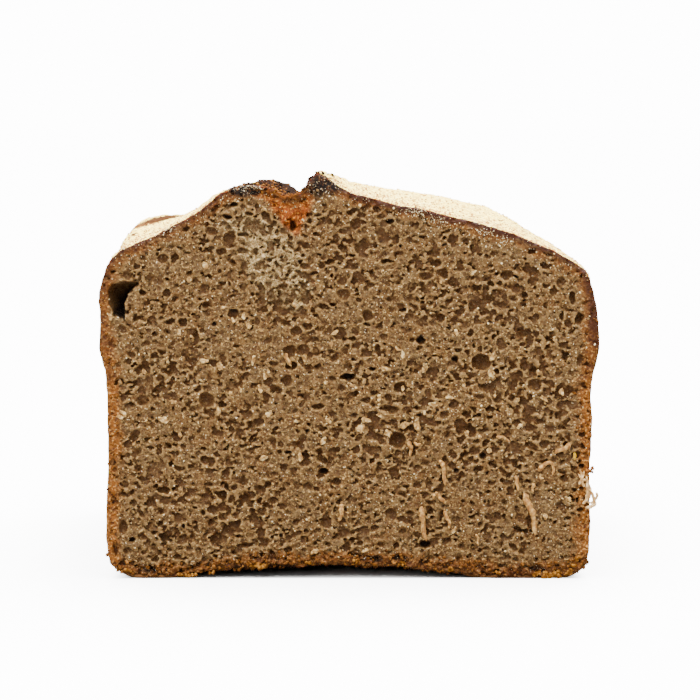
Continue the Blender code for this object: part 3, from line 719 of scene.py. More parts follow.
RING = 600
FIRST_DEPTH = 0.5
FINE_STEP, COARSE_STEP, STEPS_TO_COARSE, STEPS_AT_MOST = 0.3, 1.25, 50, 300
END_FROM, END_REACH, END_HALF, END_STEP = 100.0, 32.0, 52.0, 1.8
TURN_SAMPLES = 2001
CROWN_CROWDING = 0.9
INNER_INSET = 0.9 / 50
RECESS_BEHIND = 0.4
SUNK = 0.25
RIM_LINE = 47.0

# Rings of points, close at the cut and on the crown: along the loaf, round its end and across it.
steps = np.interp(np.arange(STEPS_AT_MOST), (0, STEPS_TO_COARSE), (FINE_STEP, COARSE_STEP))
depths = FIRST_DEPTH + np.cumsum(steps) - steps[0]
stations = [(d, 1.0, 0.0) for d in depths[depths < END_FROM]]
stations += [(END_FROM, END_HALF, t) for t in np.arange(0.0, END_REACH, COARSE_STEP)]
stations += [(END_FROM, s, END_REACH) for s in np.arange(END_HALF, 1.0, -END_STEP)]
turn_grid = np.linspace(-math.pi, math.pi, TURN_SAMPLES)
crowded = np.cumsum(1 + CROWN_CROWDING * ease(-np.abs(turn_grid - math.pi / 2), -1.5, -1.0))
crowded = (crowded - crowded[0]) / (crowded[-1] - crowded[0])
ring_turns = np.interp(np.arange(RING) / RING, crowded, turn_grid)
skin = np.array([[skin_point(a, *station) for a in ring_turns] for station in stations])
smooth = soften(soften(skin, 1.3, 1, True), 2.0, 0, False)
fade = ease(np.arange(len(stations)), 0, 12)[:, None, None]
skin = skin * (1 - fade) + smooth * fade


def grid_normals(grid):
    """Outward directions of a grid of points that closes round its second axis."""
    around = np.roll(grid, -1, 1) - np.roll(grid, 1, 1)
    along = np.gradient(grid, axis=0)
    out = np.cross(around, along)
    out /= np.linalg.norm(out, axis=2, keepdims=True) + 1e-12
    return out


normals = grid_normals(skin)
if (normals[1:40] * (skin[1:40] - (0, 0, HEART)) * (1, 0, 1)).sum() < 0:
    normals = -normals
sx, sy, sz = np.moveaxis(skin, 2, 0)
depth_here = sy - CUT / MM
face_up = normals[:, :, 2]
rough = lumps(sx, sy, sz, 1.5, 31)
rough_fine = lumps(sx, sy, sz, 0.8, 32)
broad = lumps(sx, sy, sz, 6.0, 33)

# The split: where it runs, how open it is, its bare lips, its char and the orange tear near the cut.
split_at = -11.1 + 3.2 * np.sin(depth_here / 27)
from_split = (sx - split_at) * (1 + 1.3 * ease(depth_here, 60, 106))
open_split = 1 - ease(depth_here, 88, 112)
lip_noise = 1.5 * rough + 1.2 * broad
bare_lip = ease(from_split + lip_noise, -21, -16) * open_split
bare_lip *= 1 - ease(from_split + 0.4 * lip_noise, 3.2, 5.2)
char = np.exp(-((from_split - 2.5) / 4.2) ** 2) + 1.2 * np.exp(-((from_split + 8) / 6) ** 2)
char = ease(char * open_split * ease(sz, 70, 78) + 0.2 * rough + 0.15 * broad, 0.3, 0.85)
amber = np.exp(-((from_split + 4.5) / 5.0) ** 4) * ease(sz, 76, 80)
amber *= np.exp(-np.maximum(depth_here + rough, 0) / 4.5)
char *= 1 - 0.9 * amber

# The second, short tear on the left shoulder, which runs inwards as it goes back.
scar_middle = -51.5 + 13 * (depth_here - 56) / 48
scar = np.exp(-((sx - scar_middle + 1.2 * rough + 1.6 * broad) / 6.9) ** 4) * ease(face_up, 0.28, 0.44)
scar *= ease(depth_here + 3 * rough + 4 * broad, 36, 50) * (1 - ease(depth_here + 5 * broad, 88, 104))
scar_lip = scar * ease(depth_here + 3 * rough, 58, 68)

# Flour on what faces up, but hardly any on lips, tears, bare patches and the very edge.
flour = ease(face_up + 0.20 * broad + 0.14 * rough, 0.30, 0.66)
leftover = 0.5 * ease(rough + broad, 0.45, 1.1) * (1 - ease(from_split + 2 * rough, -14, -10))
flour *= 1 - bare_lip * (1 - leftover)
flour *= 1 - 0.95 * scar
flour *= 1 - 0.85 * ease(lumps(sx, sy, sz, 3.4, 36) + 0.3 * rough, 0.78, 0.95)
flour *= ease(depth_here + 0.3 * rough, 0.45, 1.2)

# How far the skin stands out: pits, the ledge over the tin's rim, flour, the edge that broke under
# the knife, and the torn places. Where it touches the table it stays flat.
above_rim = ease(sz + 2.0 * broad + 1.5 * lumps(sx, sy, sz, 14.0, 35), RIM_LINE - 1, RIM_LINE + 4)
pits = np.maximum(0, lumps(sx, sy, sz, 2.0, 34) - 0.45) * 0.9 + np.maximum(0, rough - 0.5) * 0.5
proud = 0.10 * rough + 0.05 * rough_fine + 0.12 * broad
proud -= pits * (1 - 0.75 * flour)
proud += 0.45 * above_rim * (1 - ease(sz, 52, 62)) * (face_up < 0.5)
proud += flour * (0.10 + 0.26 * rough_fine)
broken_edge = np.exp(-np.maximum(depth_here, 0) / 1.5) * ease(-face_up, 0.3, 0.8)
proud -= broken_edge * (0.7 + 0.6 * rough)
proud += np.maximum(char, 0.7 * bare_lip) * (0.45 * rough_fine + 0.35 * rough + 0.2 * broad)
proud -= scar * (0.35 + 0.45 * rough)
touching_floor = ease(sz, 0.0, 0.6)
proud = proud * touching_floor - SUNK
skin = skin + normals * (proud * touching_floor)[:, :, None]
skin[:, :, 2] = np.maximum(skin[:, :, 2], 0)

# The mesh: the rings, closed at the baked end, and a hidden recess that takes the crumb's slab.
inner_ring = skin[0] + (np.array([0, 0, HEART]) - skin[0] * (1, 0, 1)) * INNER_INSET
inner_ring[:, 1] = skin[0, :, 1]
recess = inner_ring.copy()
outwards = (inner_ring - (0, 0, HEART)) * (1, 0, 1)
outwards /= np.linalg.norm(outwards, axis=1, keepdims=True)
recess -= outwards * tuck(inner_ring[:, 0], inner_ring[:, 2])[:, None]
recess[:, 1] = CUT / MM + SLAB + RECESS_BEHIND
tip = skin[-1].mean(axis=0)
pocket = recess.mean(axis=0)
points = np.concatenate([skin.reshape(-1, 3), inner_ring, recess, [tip, pocket]])
ring_index = np.arange(len(stations) * RING).reshape(len(stations), RING)
inner_index = ring_index.size + np.arange(RING)
recess_index = inner_index + RING
tip_index, pocket_index = len(points) - 2, len(points) - 1
strips = [*zip(ring_index, ring_index[1:]), (inner_index, ring_index[0]), (recess_index, inner_index)]
faces = np.concatenate([
    np.stack([one, np.roll(one, -1), np.roll(two, -1), two], axis=1) for one, two in strips
]).tolist()
last = ring_index[-1]
faces += [(a, b, tip_index) for a, b in zip(last, np.roll(last, -1))]
faces += [(b, a, pocket_index) for a, b in zip(recess_index, np.roll(recess_index, -1))]
crust_data = bpy.data.meshes.new("crust")
crust_data.from_pydata(points * MM, [], faces)
near_cut = np.exp(-np.maximum(depth_here, 0) / 14)
crust_fields = {
    "flour": flour,
    "char": char,
    "lip": bare_lip,
    "scar": scar,
    "scar_lip": scar_lip,
    "amber": amber,
    "burnt_bits": char * (0.12 + near_cut) + 0.5 * bare_lip * near_cut * (1 - amber),
    "torn_bits": amber + 0.04 * bare_lip,
    "foot": np.exp(-np.maximum(depth_here, 0) / 2.5) * ease(sz, 0.6, 1.2) * (1 - ease(sz, 3.5, 6.0)),
    "above_rim": above_rim,
    "dusting": flour * (0.15 + 2 * near_cut),
}
write_fields(crust_data, {
    name: np.concatenate([values.ravel(), values[0] * 0.3, values[0] * 0, [values[-1].mean(), 0]])
    for name, values in crust_fields.items()
})


def face_outwards(mesh):
    """Turns the faces of a closed mesh outwards."""
    body = bmesh.new()
    body.from_mesh(mesh)
    bmesh.ops.recalc_face_normals(body, faces=body.faces)
    body.to_mesh(mesh)
    body.free()


face_outwards(crust_data)
crust_data.shade_smooth()
crust = new_object("crust", crust_data)

# Dry baked skin of rye dough under a dusting of flour, matt all over. Flour, torn lips and the
# ledge end in grains, not in a soft fade, so it looks crisp and dry beside the moist crumb.
CRUST_NOISES = (
    # Name, lump size and detail.
    ("blotch", 6.0, 4.0), ("grain", 0.8, 3.0), ("glint", 0.6, 1.0), ("scorch", 16.0, 3.0),
    ("speck", 1.0, 5.0), ("pit_shade", 2.6, 2.0), ("patches", 3.0, 2.0),
)
# How wide a band the edge of each breaks up into grains.
GRAINY_EDGES = {"lip": 0.9, "scar": 1.8, "above_rim": 2.0, "flour": 2.0}
crust_matter, tree, shader = new_material("browned_floured_crust")
where = add(tree, "ShaderNodeTexCoord").outputs["Object"]
fields = {n: add(tree, "ShaderNodeAttribute", attribute_name=n).outputs["Fac"] for n in crust_fields}
blotch, grain, glint, scorch, speck, pit_shade, patches = (
    add(tree, "ShaderNodeTexNoise", {
        "Vector": where, "Scale": 1 / (size * MM), "Detail": detail,
    }).outputs["Fac"]
    for _, size, detail in CRUST_NOISES
)
grained = {
    name: add(tree, "ShaderNodeMath", {
        0: speck, 1: spread, 2: fields[name],
    }, operation="MULTIPLY_ADD").outputs[0]
    for name, spread in GRAINY_EDGES.items()
}
# In these tints and in the crust's colour below, the glint layers are painted highlights.
lip_tint = tinted(tree, linear("#2a180d"), (
    (patches, 0.50, 0.62, 0.8, "#543620"),
    (grain, 0.52, 0.38, 0.85, "#170c06"),
    (glint, 0.58, 0.70, 0.6, "#6a4a2d"),
))
scar_tint = tinted(tree, linear("#67431f"), (
    (patches, 0.50, 0.62, 0.8, "#7a552a"),
    (grain, 0.50, 0.38, 0.8, "#38200f"),
    (glint, 0.58, 0.70, 0.5, "#947044"),
    (fields["scar_lip"], 0.3, 0.7, 0.85, "#331c0e"),
))
char_tint = tinted(tree, linear("#0f0805"), (
    (grain, 0.52, 0.64, 0.8, "#2f170a"),
    (glint, 0.60, 0.70, 0.7, "#4a3220"),
))
flour_tint = tinted(tree, linear("#fbdc64"), (
    (blotch, 0.50, 0.68, 0.6, "#e2b354"),
    (grain, 0.49, 0.37, 0.9, "#b37a2e"),
    (glint, 0.50, 0.60, 0.9, "#fff096"),
    (speck, 0.56, 0.64, 0.85, "#8f6130"),
))
floured, worn = (
    add(tree, "ShaderNodeMapRange", {
        "Value": value, LEAST: start, MOST: stop, TO_LEAST: to_start, TO_MOST: to_stop,
    }).outputs[0]
    for value, start, stop, to_start, to_stop in (
        (grained["flour"], 1.41, 1.59, 0.0, 1.0),
        (speck, 0.60, 0.70, 1.0, 0.25),
    )
)
dust = add(tree, "ShaderNodeMath", {0: floured, 1: worn}, operation="MULTIPLY").outputs[0]
# The dark pit layer is painted shade in the crust's pits.
colour = tinted(tree, linear("#6a4628"), (
    (scorch, 0.48, 0.66, 0.6, "#4d3019"),
    (blotch, 0.45, 0.65, 0.7, "#4f2f17"),
    (blotch, 0.45, 0.32, 0.6, "#8a6440"),
    (grained["above_rim"], 1.41, 1.59, 0.8, "#412512"),
    (grain, 0.48, 0.34, 0.75, "#331b0c"),
    (glint, 0.58, 0.72, 0.5, "#9a7144"),
    (pit_shade, 0.64, 0.69, 0.85, "#241006"),
    (grained["lip"], 0.86, 1.04, 0.95, lip_tint),
    (grained["scar"], 1.31, 1.49, 0.95, scar_tint),
    (fields["amber"], 0.0, 1.0, 1.0, "#6e3c15"),
    (fields["char"], 0.0, 1.0, 1.0, char_tint),
    (dust, 0.0, 1.0, 1.0, flour_tint),
))
finish_surface(tree, shader, colour, grain, 0.8, 0.4, 0.95, 0.02)
crust_data.materials.append(crust_matter)
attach(crust, "root")
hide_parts("rye_loaf")


# Bran flakes. Husks of coarse rye meal, thin, pale and curled, stuck in the cut. One tree
# scatters them and everything else that is strewn over the loaf.

FLAKE_SIDES = 12
FLAKE_THICKNESS = 0.14

scatter_tree = bpy.data.node_groups.new("strewn_pieces", "GeometryNodeTree")
SCATTER_INPUTS = (
    ("Surface", "NodeSocketGeometry"),
    ("Pieces", "NodeSocketCollection"),
    ("Room", "NodeSocketString"),
    ("Per Square Metre", "NodeSocketFloat"),
    ("Seed", "NodeSocketInt"),
    ("Smallest", "NodeSocketFloat"),
    ("Largest", "NodeSocketFloat"),
    ("Tilt", "NodeSocketFloat"),
    ("Lift", "NodeSocketFloat"),
    ("Finish", "NodeSocketMaterial"),
)
for name, kind in SCATTER_INPUTS:
    scatter_tree.interface.new_socket(name, in_out="INPUT", socket_type=kind)
scatter_tree.interface.new_socket("Strewn", in_out="OUTPUT", socket_type="NodeSocketGeometry")
given = add(scatter_tree, "NodeGroupInput").outputs
room = add(scatter_tree, "GeometryNodeInputNamedAttribute", {"Name": given["Room"]}, data_type="FLOAT")
density = add(scatter_tree, "ShaderNodeMath", {
    0: room.outputs["Attribute"], 1: given["Per Square Metre"],
}, operation="MULTIPLY").outputs[0]
places = add(scatter_tree, "GeometryNodeDistributePointsOnFaces", {
    "Mesh": given["Surface"], "Density": density, "Seed": given["Seed"],
}).outputs
rise = add(scatter_tree, "ShaderNodeVectorMath", {
    0: places["Normal"], "Scale": given["Lift"],
}, operation="SCALE").outputs[0]
lifted = add(scatter_tree, "GeometryNodeSetPosition", {"Geometry": places["Points"], "Offset": rise})
lean = add(scatter_tree, "ShaderNodeMath", {0: given["Tilt"], 1: -1.0}, operation="MULTIPLY").outputs[0]
turned_least = add(scatter_tree, "ShaderNodeCombineXYZ", {0: lean, 1: lean, 2: 0.0}).outputs[0]
turned_most = add(scatter_tree, "ShaderNodeCombineXYZ", {
    0: given["Tilt"], 1: given["Tilt"], 2: 2 * math.pi,
}).outputs[0]
spin = add(scatter_tree, "FunctionNodeRandomValue", {
    0: turned_least, 1: turned_most, "Seed": given["Seed"],
}, data_type="FLOAT_VECTOR").outputs[0]
spun = add(scatter_tree, "FunctionNodeEulerToRotation", {0: spin}).outputs[0]
facing = add(scatter_tree, "FunctionNodeRotateRotation", {
    0: places["Rotation"], 1: spun,
}, rotation_space="LOCAL").outputs[0]
chance = add(scatter_tree, "FunctionNodeRandomValue", {"Seed": given["Seed"]}, data_type="FLOAT").outputs[1]
mostly_small = add(scatter_tree, "ShaderNodeMath", {0: chance, 1: 2.0}, operation="POWER").outputs[0]
size = add(scatter_tree, "ShaderNodeMapRange", {
    "Value": mostly_small, TO_LEAST: given["Smallest"], TO_MOST: given["Largest"],
}).outputs[0]
shapes = add(scatter_tree, "GeometryNodeCollectionInfo", {
    "Collection": given["Pieces"], "Separate Children": True, "Reset Children": True,
}).outputs[0]
strewn = add(scatter_tree, "GeometryNodeInstanceOnPoints", {
    "Points": lifted.outputs[0], "Instance": shapes, "Pick Instance": True,
    "Rotation": facing, "Scale": size,
})
real = add(scatter_tree, "GeometryNodeRealizeInstances", {0: strewn.outputs[0]})
finished = add(scatter_tree, "GeometryNodeSetMaterial", {0: real.outputs[0], "Material": given["Finish"]})
add(scatter_tree, "NodeGroupOutput", {0: finished.outputs[0]})
socket_of = {
    item.name: item.identifier for item in scatter_tree.interface.items_tree if item.in_out == "INPUT"
}


def strew(carrier, room, pieces, finish, per_cm2, seed, sizes, tilt, lift):
    """Scatters pieces over a carrier where its room attribute allows and gives a plain mesh."""
    modifier = carrier.modifiers.new("strewn", "NODES")
    modifier.node_group = scatter_tree
    settings = {
        "Pieces": pieces, "Room": room, "Per Square Metre": per_cm2 * 1e4, "Seed": seed,
        "Smallest": sizes[0] * MM, "Largest": sizes[1] * MM, "Tilt": tilt, "Lift": lift * MM,
        "Finish": finish,
    }
    for name, value in settings.items():
        modifier[socket_of[name]] = value
    evaluated = carrier.evaluated_get(bpy.context.evaluated_depsgraph_get())
    mesh = bpy.data.meshes.new_from_object(evaluated)
    carrier.modifiers.remove(modifier)
    return mesh


def shape_set(name, meshes):
    """A collection of small shapes, kept out of the scene, that the tree picks from."""
    group = bpy.data.collections.new(name)
    for i, mesh in enumerate(meshes):
        group.objects.link(bpy.data.objects.new(f"{name}_{i}", mesh))
    return group


def strewn_piece(name, meshes, finish):
    """Joins meshes into one piece that rides with the loaf."""
    body = bmesh.new()
    for mesh in meshes:
        body.from_mesh(mesh)
    for v in body.verts:
        v.co.z = max(v.co.z, 0)
    joined = bpy.data.meshes.new(name)
    body.to_mesh(joined)
    body.free()
    joined.materials.clear()
    joined.materials.append(finish)
    for polygon in joined.polygons:
        polygon.material_index = 0
    joined.shade_smooth()
    piece = new_object(name, joined)
    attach(piece, "root")
    return piece


def flake(seed, length=1.0, width=0.55, curl=0.5, thickness=FLAKE_THICKNESS):
    """A thin curled husk with a ragged outline, closed, about one unit long."""
    draw = np.random.default_rng(seed)
    outline = draw.uniform(0.65, 1.2, FLAKE_SIDES)
    angle = np.linspace(0, 2 * math.pi, FLAKE_SIDES, endpoint=False)
    levels = []
    for side in (0.5, -0.5):
        for share in (1.0, 0.55):
            across = np.cos(angle) * outline * share * length / 2
            along = np.sin(angle) * outline * share * width / 2
            bow = curl * (across ** 2 - 0.5 * along ** 2) / length
            ruffle = draw.uniform(-0.11, 0.11, FLAKE_SIDES) * length
            edge_thin = 0.5 if share == 1.0 else 1.0
            levels.append(np.stack([across, along, bow + ruffle + side * thickness * edge_thin], axis=1))
    points = [*levels[0], *levels[1], *levels[2], *levels[3], (0, 0, thickness / 2), (0, 0, -thickness / 2)]
    n = FLAKE_SIDES
    faces = []
    for i in range(n):
        j = (i + 1) % n
        faces += [(i, j, n + j, n + i), (n + i, n + j, 4 * n)]
        faces += [(2 * n + j, 2 * n + i, 3 * n + i, 3 * n + j), (3 * n + j, 3 * n + i, 4 * n + 1)]
        faces.append((j, i, 2 * n + i, 2 * n + j))
    mesh = bpy.data.meshes.new("flake")
    mesh.from_pydata([tuple(p) for p in points], [], faces)
    return mesh


def grain_shape(seed, subdivisions=1):
    """A small angular lump about one unit across."""
    draw = np.random.default_rng(seed)
    body = bmesh.new()
    bmesh.ops.create_icosphere(body, subdivisions=subdivisions, radius=0.5)
    stretch = draw.uniform(0.75, 1.2, 3)
    for v in body.verts:
        v.co = Vector(v.co * draw.uniform(0.72, 1.2)) * Vector(stretch).length / math.sqrt(3)
        v.co.x *= stretch[0]
        v.co.y *= stretch[1]
        v.co.z *= stretch[2]
    mesh = bpy.data.meshes.new("grain")
    body.to_mesh(mesh)
    body.free()
    return mesh


def crumb_like(name, base, dark, light, lump, roughness=0.6, gloss=0.25):
    """A matt baked-dough material whose tint changes from lump to lump."""
    made, tree, shader = new_material(name)
    where = add(tree, "ShaderNodeTexCoord").outputs["Object"]
    patchy, fine = (
        add(tree, "ShaderNodeTexNoise", {
            "Vector": where, "Scale": 1 / (size * MM), "Detail": detail,
        }).outputs["Fac"]
        for size, detail in ((lump, 1.0), (0.3 * lump, 3.0))
    )
    colour = tinted(tree, linear(base), (
        (patchy, 0.50, 0.34, 0.9, dark),
        (patchy, 0.52, 0.68, 0.9, light),
        (fine, 0.48, 0.34, 0.5, dark),
    ))
    finish_surface(tree, shader, colour, fine, 0.7, 0.15, roughness, gloss)
    return made


# Dry outer husk of rye, paler than the crumb, so each flake stands out by its light edge.
husk = crumb_like("rye_bran_husk", "#ae864a", "#775225", "#d9bf88", 0.8)
flakes = shape_set("flakes", [flake(40 + i) for i in range(6)])
MARKED_FLAKES = (
    # Across, up, length, width and lean of its upper end to the left, in degrees.
    (2.7, 34.7, 2.6, 1.9, -50), (3.9, 36.7, 2.8, 1.3, 70), (7.1, 37.7, 1.9, 1.1, 80),
    (8.9, 33.7, 2.1, 1.8, 20), (12.6, 35.5, 2.2, 1.5, -60), (15.6, 35.5, 2.3, 1.5, 10),
    (19.8, 40.3, 3.1, 1.5, 80), (23.1, 41.9, 2.4, 0.9, 85), (17.3, 48.5, 2.6, 1.2, -30),
    (8.4, 48.4, 2.7, 1.2, 80), (0.7, 44.5, 2.7, 1.0, 60), (-10.2, 51.0, 2.1, 1.2, 10),
    (12.3, 51.6, 2.0, 1.0, 5), (-4.1, 54.2, 1.4, 1.0, 0), (-3.3, 56.7, 1.9, 1.0, -60),
    (13.7, 45.0, 1.6, 1.0, 0), (12.3, 44.0, 1.4, 0.9, 0), (-4.8, 36.5, 1.9, 1.2, 30),
    (-5.3, 45.3, 1.3, 0.9, 40), (6.9, 41.8, 1.6, 1.2, 0), (-38.9, 56.9, 1.7, 1.1, 0),
    (-29.6, 49.1, 2.0, 1.4, 20), (-18.7, 47.9, 1.6, 1.3, 0), (-14.1, 50.4, 3.2, 1.1, 30),
    (-22.0, 50.5, 2.6, 0.9, -15), (-33.8, 45.9, 1.8, 1.0, 70), (-27.1, 42.6, 1.7, 1.1, 20),
    (-30.0, 38.7, 2.6, 1.0, 5), (-42.5, 36.7, 2.5, 2.0, 60), (-52.4, 37.4, 1.6, 0.9, 80),
    (-18.4, 38.2, 1.8, 1.5, -40), (-40.3, 40.8, 1.9, 0.9, 75), (-38.9, 33.5, 1.9, 0.9, 10),
    (-14.2, 32.7, 1.7, 1.1, 15), (-25.0, 43.7, 1.4, 0.8, 25), (24.5, 56.8, 1.6, 1.1, 10),
    (32.7, 51.3, 2.3, 1.8, 30), (32.5, 47.4, 2.3, 1.6, 20), (47.1, 55.2, 1.5, 1.2, 0),
    (26.2, 44.7, 1.2, 0.9, -30), (43.3, 47.6, 1.4, 0.9, 0), (48.7, 43.2, 1.9, 1.3, 10),
    (44.7, 41.6, 2.2, 1.1, 50), (33.4, 42.3, 1.2, 0.8, 0), (32.2, 29.7, 1.6, 1.3, 0),
    (30.0, 32.8, 1.3, 1.0, 0), (-32.8, 72.2, 2.2, 1.4, 15), (-36.6, 68.9, 1.4, 1.3, 0),
    (-24.2, 60.5, 1.4, 1.2, 0), (-23.0, 58.2, 1.6, 1.2, 20), (-11.3, 28.4, 2.8, 1.1, 5),
    (27.0, 33.6, 1.5, 1.2, 0), (50.4, 18.4, 1.9, 1.1, 60), (45.0, 14.5, 1.6, 1.2, 20),
    (-12.5, 63.2, 1.3, 0.9, 30),
)


def laid_on_cut(mesh, at_x, at_z, lean, proud):
    """Lays a flat mesh in millimetres on the cut, its length upright and its top leaning right."""
    depth = float(read_face(relief, np.array([at_x]), np.array([at_z]))[0])
    place = Vector((at_x, CUT / MM + min(depth, 0.5) - proud, at_z))
    mesh.transform(Matrix.Rotation(math.radians(90), 4, "Z"))
    upright = Matrix.Rotation(math.radians(lean), 4, "Y") @ Matrix.Rotation(math.radians(90), 4, "X")
    mesh.transform(Matrix.Scale(MM, 4) @ Matrix.Translation(place) @ upright)
    return mesh


laid = [
    laid_on_cut(flake(70 + i, length, width, 0.5, FLAKE_THICKNESS * 2), at_x, at_z, -lean, 0.1)
    for i, (at_x, at_z, length, width, lean) in enumerate(MARKED_FLAKES)
]
laid.append(strew(crumb_sheet, "flake_room", flakes, husk, 1.6, 5, (0.7, 2.2), 0.5, 0.05))
strewn_piece("bran_flakes", laid, husk)


# Fine crumb. Bits of crumb that the knife pulled up but that still cling, and paler specks of
# starch and meal, whose pale colour is partly a painted highlight.

# The same moist crumb, torn up and a little drier, so it roughens the face without spotting it.
torn_crumb = crumb_like("clinging_crumb", "#755831", "#4d3316", "#a98a58", 1.1)
# Bare starchy meal, pale partly as a painted highlight, so it shows as fine pale points.
pale_meal_glints = crumb_like("pale_rye_meal_glints", "#c8ae7c", "#a08150", "#ecdab0", 0.8, 0.4)
grains = shape_set("grains", [grain_shape(50 + i) for i in range(8)])
bits = strew(crumb_sheet, "bit_room", grains, torn_crumb, 20, 6, (0.3, 0.8), 1.2, 0.0)
strewn_piece("clinging_crumbs", [bits], torn_crumb)
specks = strew(crumb_sheet, "speck_room", grains, pale_meal_glints, 9, 7, (0.22, 0.62), 1.2, 0.04)
strewn_piece("pale_specks", [specks], pale_meal_glints)


# Crust crumbs. Orange-brown crumbs that broke from the crust under the knife and cling along
# the rim, most of them at the bottom.

# Dry broken crust, orange-brown and quite matt, which makes the rim look crumbly.
crust_crumb = crumb_like("broken_crust", "#643c16", "#30180b", "#976530", 0.9, 0.9, 0.03)
broken = strew(crumb_sheet, "crumbly", grains, crust_crumb, 85, 8, (0.3, 1.0), 1.2, 0.1)
at_foot = strew(crust, "foot", grains, crust_crumb, 130, 13, (0.4, 1.3), 1.2, 0.1)
in_split = strew(crust, "torn_bits", grains, crust_crumb, 170, 14, (0.4, 1.1), 1.2, 0.1)
strewn_piece("crust_crumbs", [broken, at_foot, in_split], crust_crumb)
# Charred dough, nearly black, with a brown glow where it broke.
charred = crumb_like("charred_crust", "#1a0d06", "#0a0503", "#432411", 0.8, 0.9, 0.03)
on_lips = strew(crust, "burnt_bits", grains, charred, 90, 15, (0.35, 0.9), 1.2, 0.0)
strewn_piece("charred_crumbs", [on_lips], charred)


# Flour grains. The baker dusted the crown with rye flour; it stands in grains on the crust and
# some fell on the cut. They are drawn a little coarser than real ones, or none would show.

# Rye flour warmed in the oven, creamy yellow, the lightest thing on the crown.
dusted_flour = crumb_like("dusted_rye_flour", "#f4d87c", "#d29f4c", "#fff0a6", 0.6, 0.9)
on_crown = strew(crust, "dusting", grains, dusted_flour, 80, 9, (0.16, 0.45), 1.2, 0.0)
strewn_piece("flour_grains", [on_crown], dusted_flour)
# The same flour on moist crumb, damp and so greyer.
fallen = crumb_like("fallen_rye_flour", "#c9b58c", "#a08657", "#e6d9bb", 0.6, 0.9)
on_cut = strew(crumb_sheet, "spilled", grains, fallen, 700, 10, (0.13, 0.34), 1.2, 0.05)
strewn_piece("fallen_flour", [on_cut], fallen)
# Bran that toasted in the flour: tan specks which keep the flour from looking flat.
toasted = crumb_like("toasted_bran", "#b5823f", "#7d4c1e", "#d8ab66", 0.6, 0.9)
on_flour = strew(crust, "dusting", grains, toasted, 60, 12, (0.22, 0.62), 1.2, 0.05)
strewn_piece("toasted_bran_specks", [on_flour], toasted)


# Golden crumbs. Clumps of broken golden crust that hang from the bottom edge or lie under it, and
# a redder one on the right edge above the threads. Each is a few angular lumps grown together.

EDGE_CLUMPS = (
    # Across, up and size.
    (-22.0, 3.0, 1.5), (-20.6, 2.7, 1.7), (-19.2, 2.8, 1.3), (-38.9, 0.7, 1.3), (-37.3, 0.6, 1.5),
    (-35.7, 0.7, 1.2), (-31.6, 1.4, 1.3), (-50.9, 1.9, 1.3), (43.2, 1.0, 1.6), (44.9, 0.8, 1.9),
    (46.7, 0.9, 1.8), (48.5, 1.1, 1.9), (50.2, 1.5, 1.7), (51.8, 3.0, 1.6), (52.9, 4.6, 1.4),
    (12.0, 3.4, 1.3), (23.5, 2.2, 1.4), (34.2, 1.6, 1.4), (-9.5, 3.9, 1.2), (1.5, 3.9, 1.2),
)
LUMPS_A_CLUMP, LUMP_SHARE = 5, 0.62
RED_CLUMPS = ((54.9, 25.3, 1.5), (55.8, 25.6, 1.0), (55.6, 24.6, 0.9))


def clumps(table, seed):
    """A handful of angular lumps grown together at each place of a table."""
    draw = np.random.default_rng(seed)
    made = []
    for i, (at_x, at_z, size) in enumerate(table):
        for k in range(LUMPS_A_CLUMP):
            lump = grain_shape(200 + 10 * seed + 5 * i + k, 2)
            offset = draw.uniform(-0.42, 0.42, 3) * size * (1, 0.7, 0.7)
            place = Vector((at_x, CUT / MM + 0.2, at_z)) + Vector(offset)
            grown = Matrix.Translation(place) @ Matrix.Scale(LUMP_SHARE * size, 4)
            lump.transform(Matrix.Scale(MM, 4) @ grown)
            made.append(lump)
    return made


# Lighter baked crust, whose golden clumps break up the dark bottom edge.
golden = crumb_like("golden_crust", "#764a19", "#47280d", "#ad7a38", 0.8, 0.9, 0.03)
strewn_piece("golden_crumbs", clumps(EDGE_CLUMPS, 1), golden)
# Crust with a redder bake, the one warm spot on the right edge.
reddish = crumb_like("red_brown_crust", "#683a19", "#3f1f0d", "#94602f", 0.8, 0.9, 0.03)
strewn_piece("red_brown_crumb", clumps(RED_CLUMPS, 2), reddish)


# Rolled crumbs. The knife rolled moist crumb into short tapered threads that lie on the cut, one
# of them hooked. Each is a lumpy tube along a bent line.

CRUMB_ROLLS = (
    # Across, up, length, lean of the upper end to the left in degrees, thickness and bend.
    (21.4, 24.6, 6.0, 10, 0.95, 0.4), (17.3, 12.8, 8.2, 7, 1.10, -0.4), (41.5, 15.0, 10.2, 16, 1.35, 0.5),
    (22.4, 13.6, 4.4, 18, 0.85, 0.3), (21.2, 18.4, 2.6, 42, 0.85, 0.0), (38.4, 22.1, 3.6, 10, 0.75, 0.2),
    (42.2, 21.1, 2.2, -6, 0.70, 0.0), (48.9, 30.1, 4.2, -62, 1.00, 0.2), (13.9, 30.1, 3.6, 4, 0.85, 0.2),
    (-2.1, 15.3, 4.2, -8, 1.00, 0.3), (-14.1, 50.6, 3.0, 24, 0.80, 0.0), (15.6, 31.1, 1.6, 80, 0.70, 0.0),
    (19.6, 19.4, 1.8, -35, 0.60, 0.1), (29.4, 9.0, 2.8, 8, 0.50, 0.2), (35.3, 32.3, 3.4, 68, 0.60, 0.3),
)
HOOKED_ROLL = ((46.7, 23.7), (46.95, 25.7), (46.5, 26.8), (45.4, 26.9), (44.2, 26.0), (43.3, 24.8))
ROLL_STATIONS = 44
ROLL_SIDES = 12


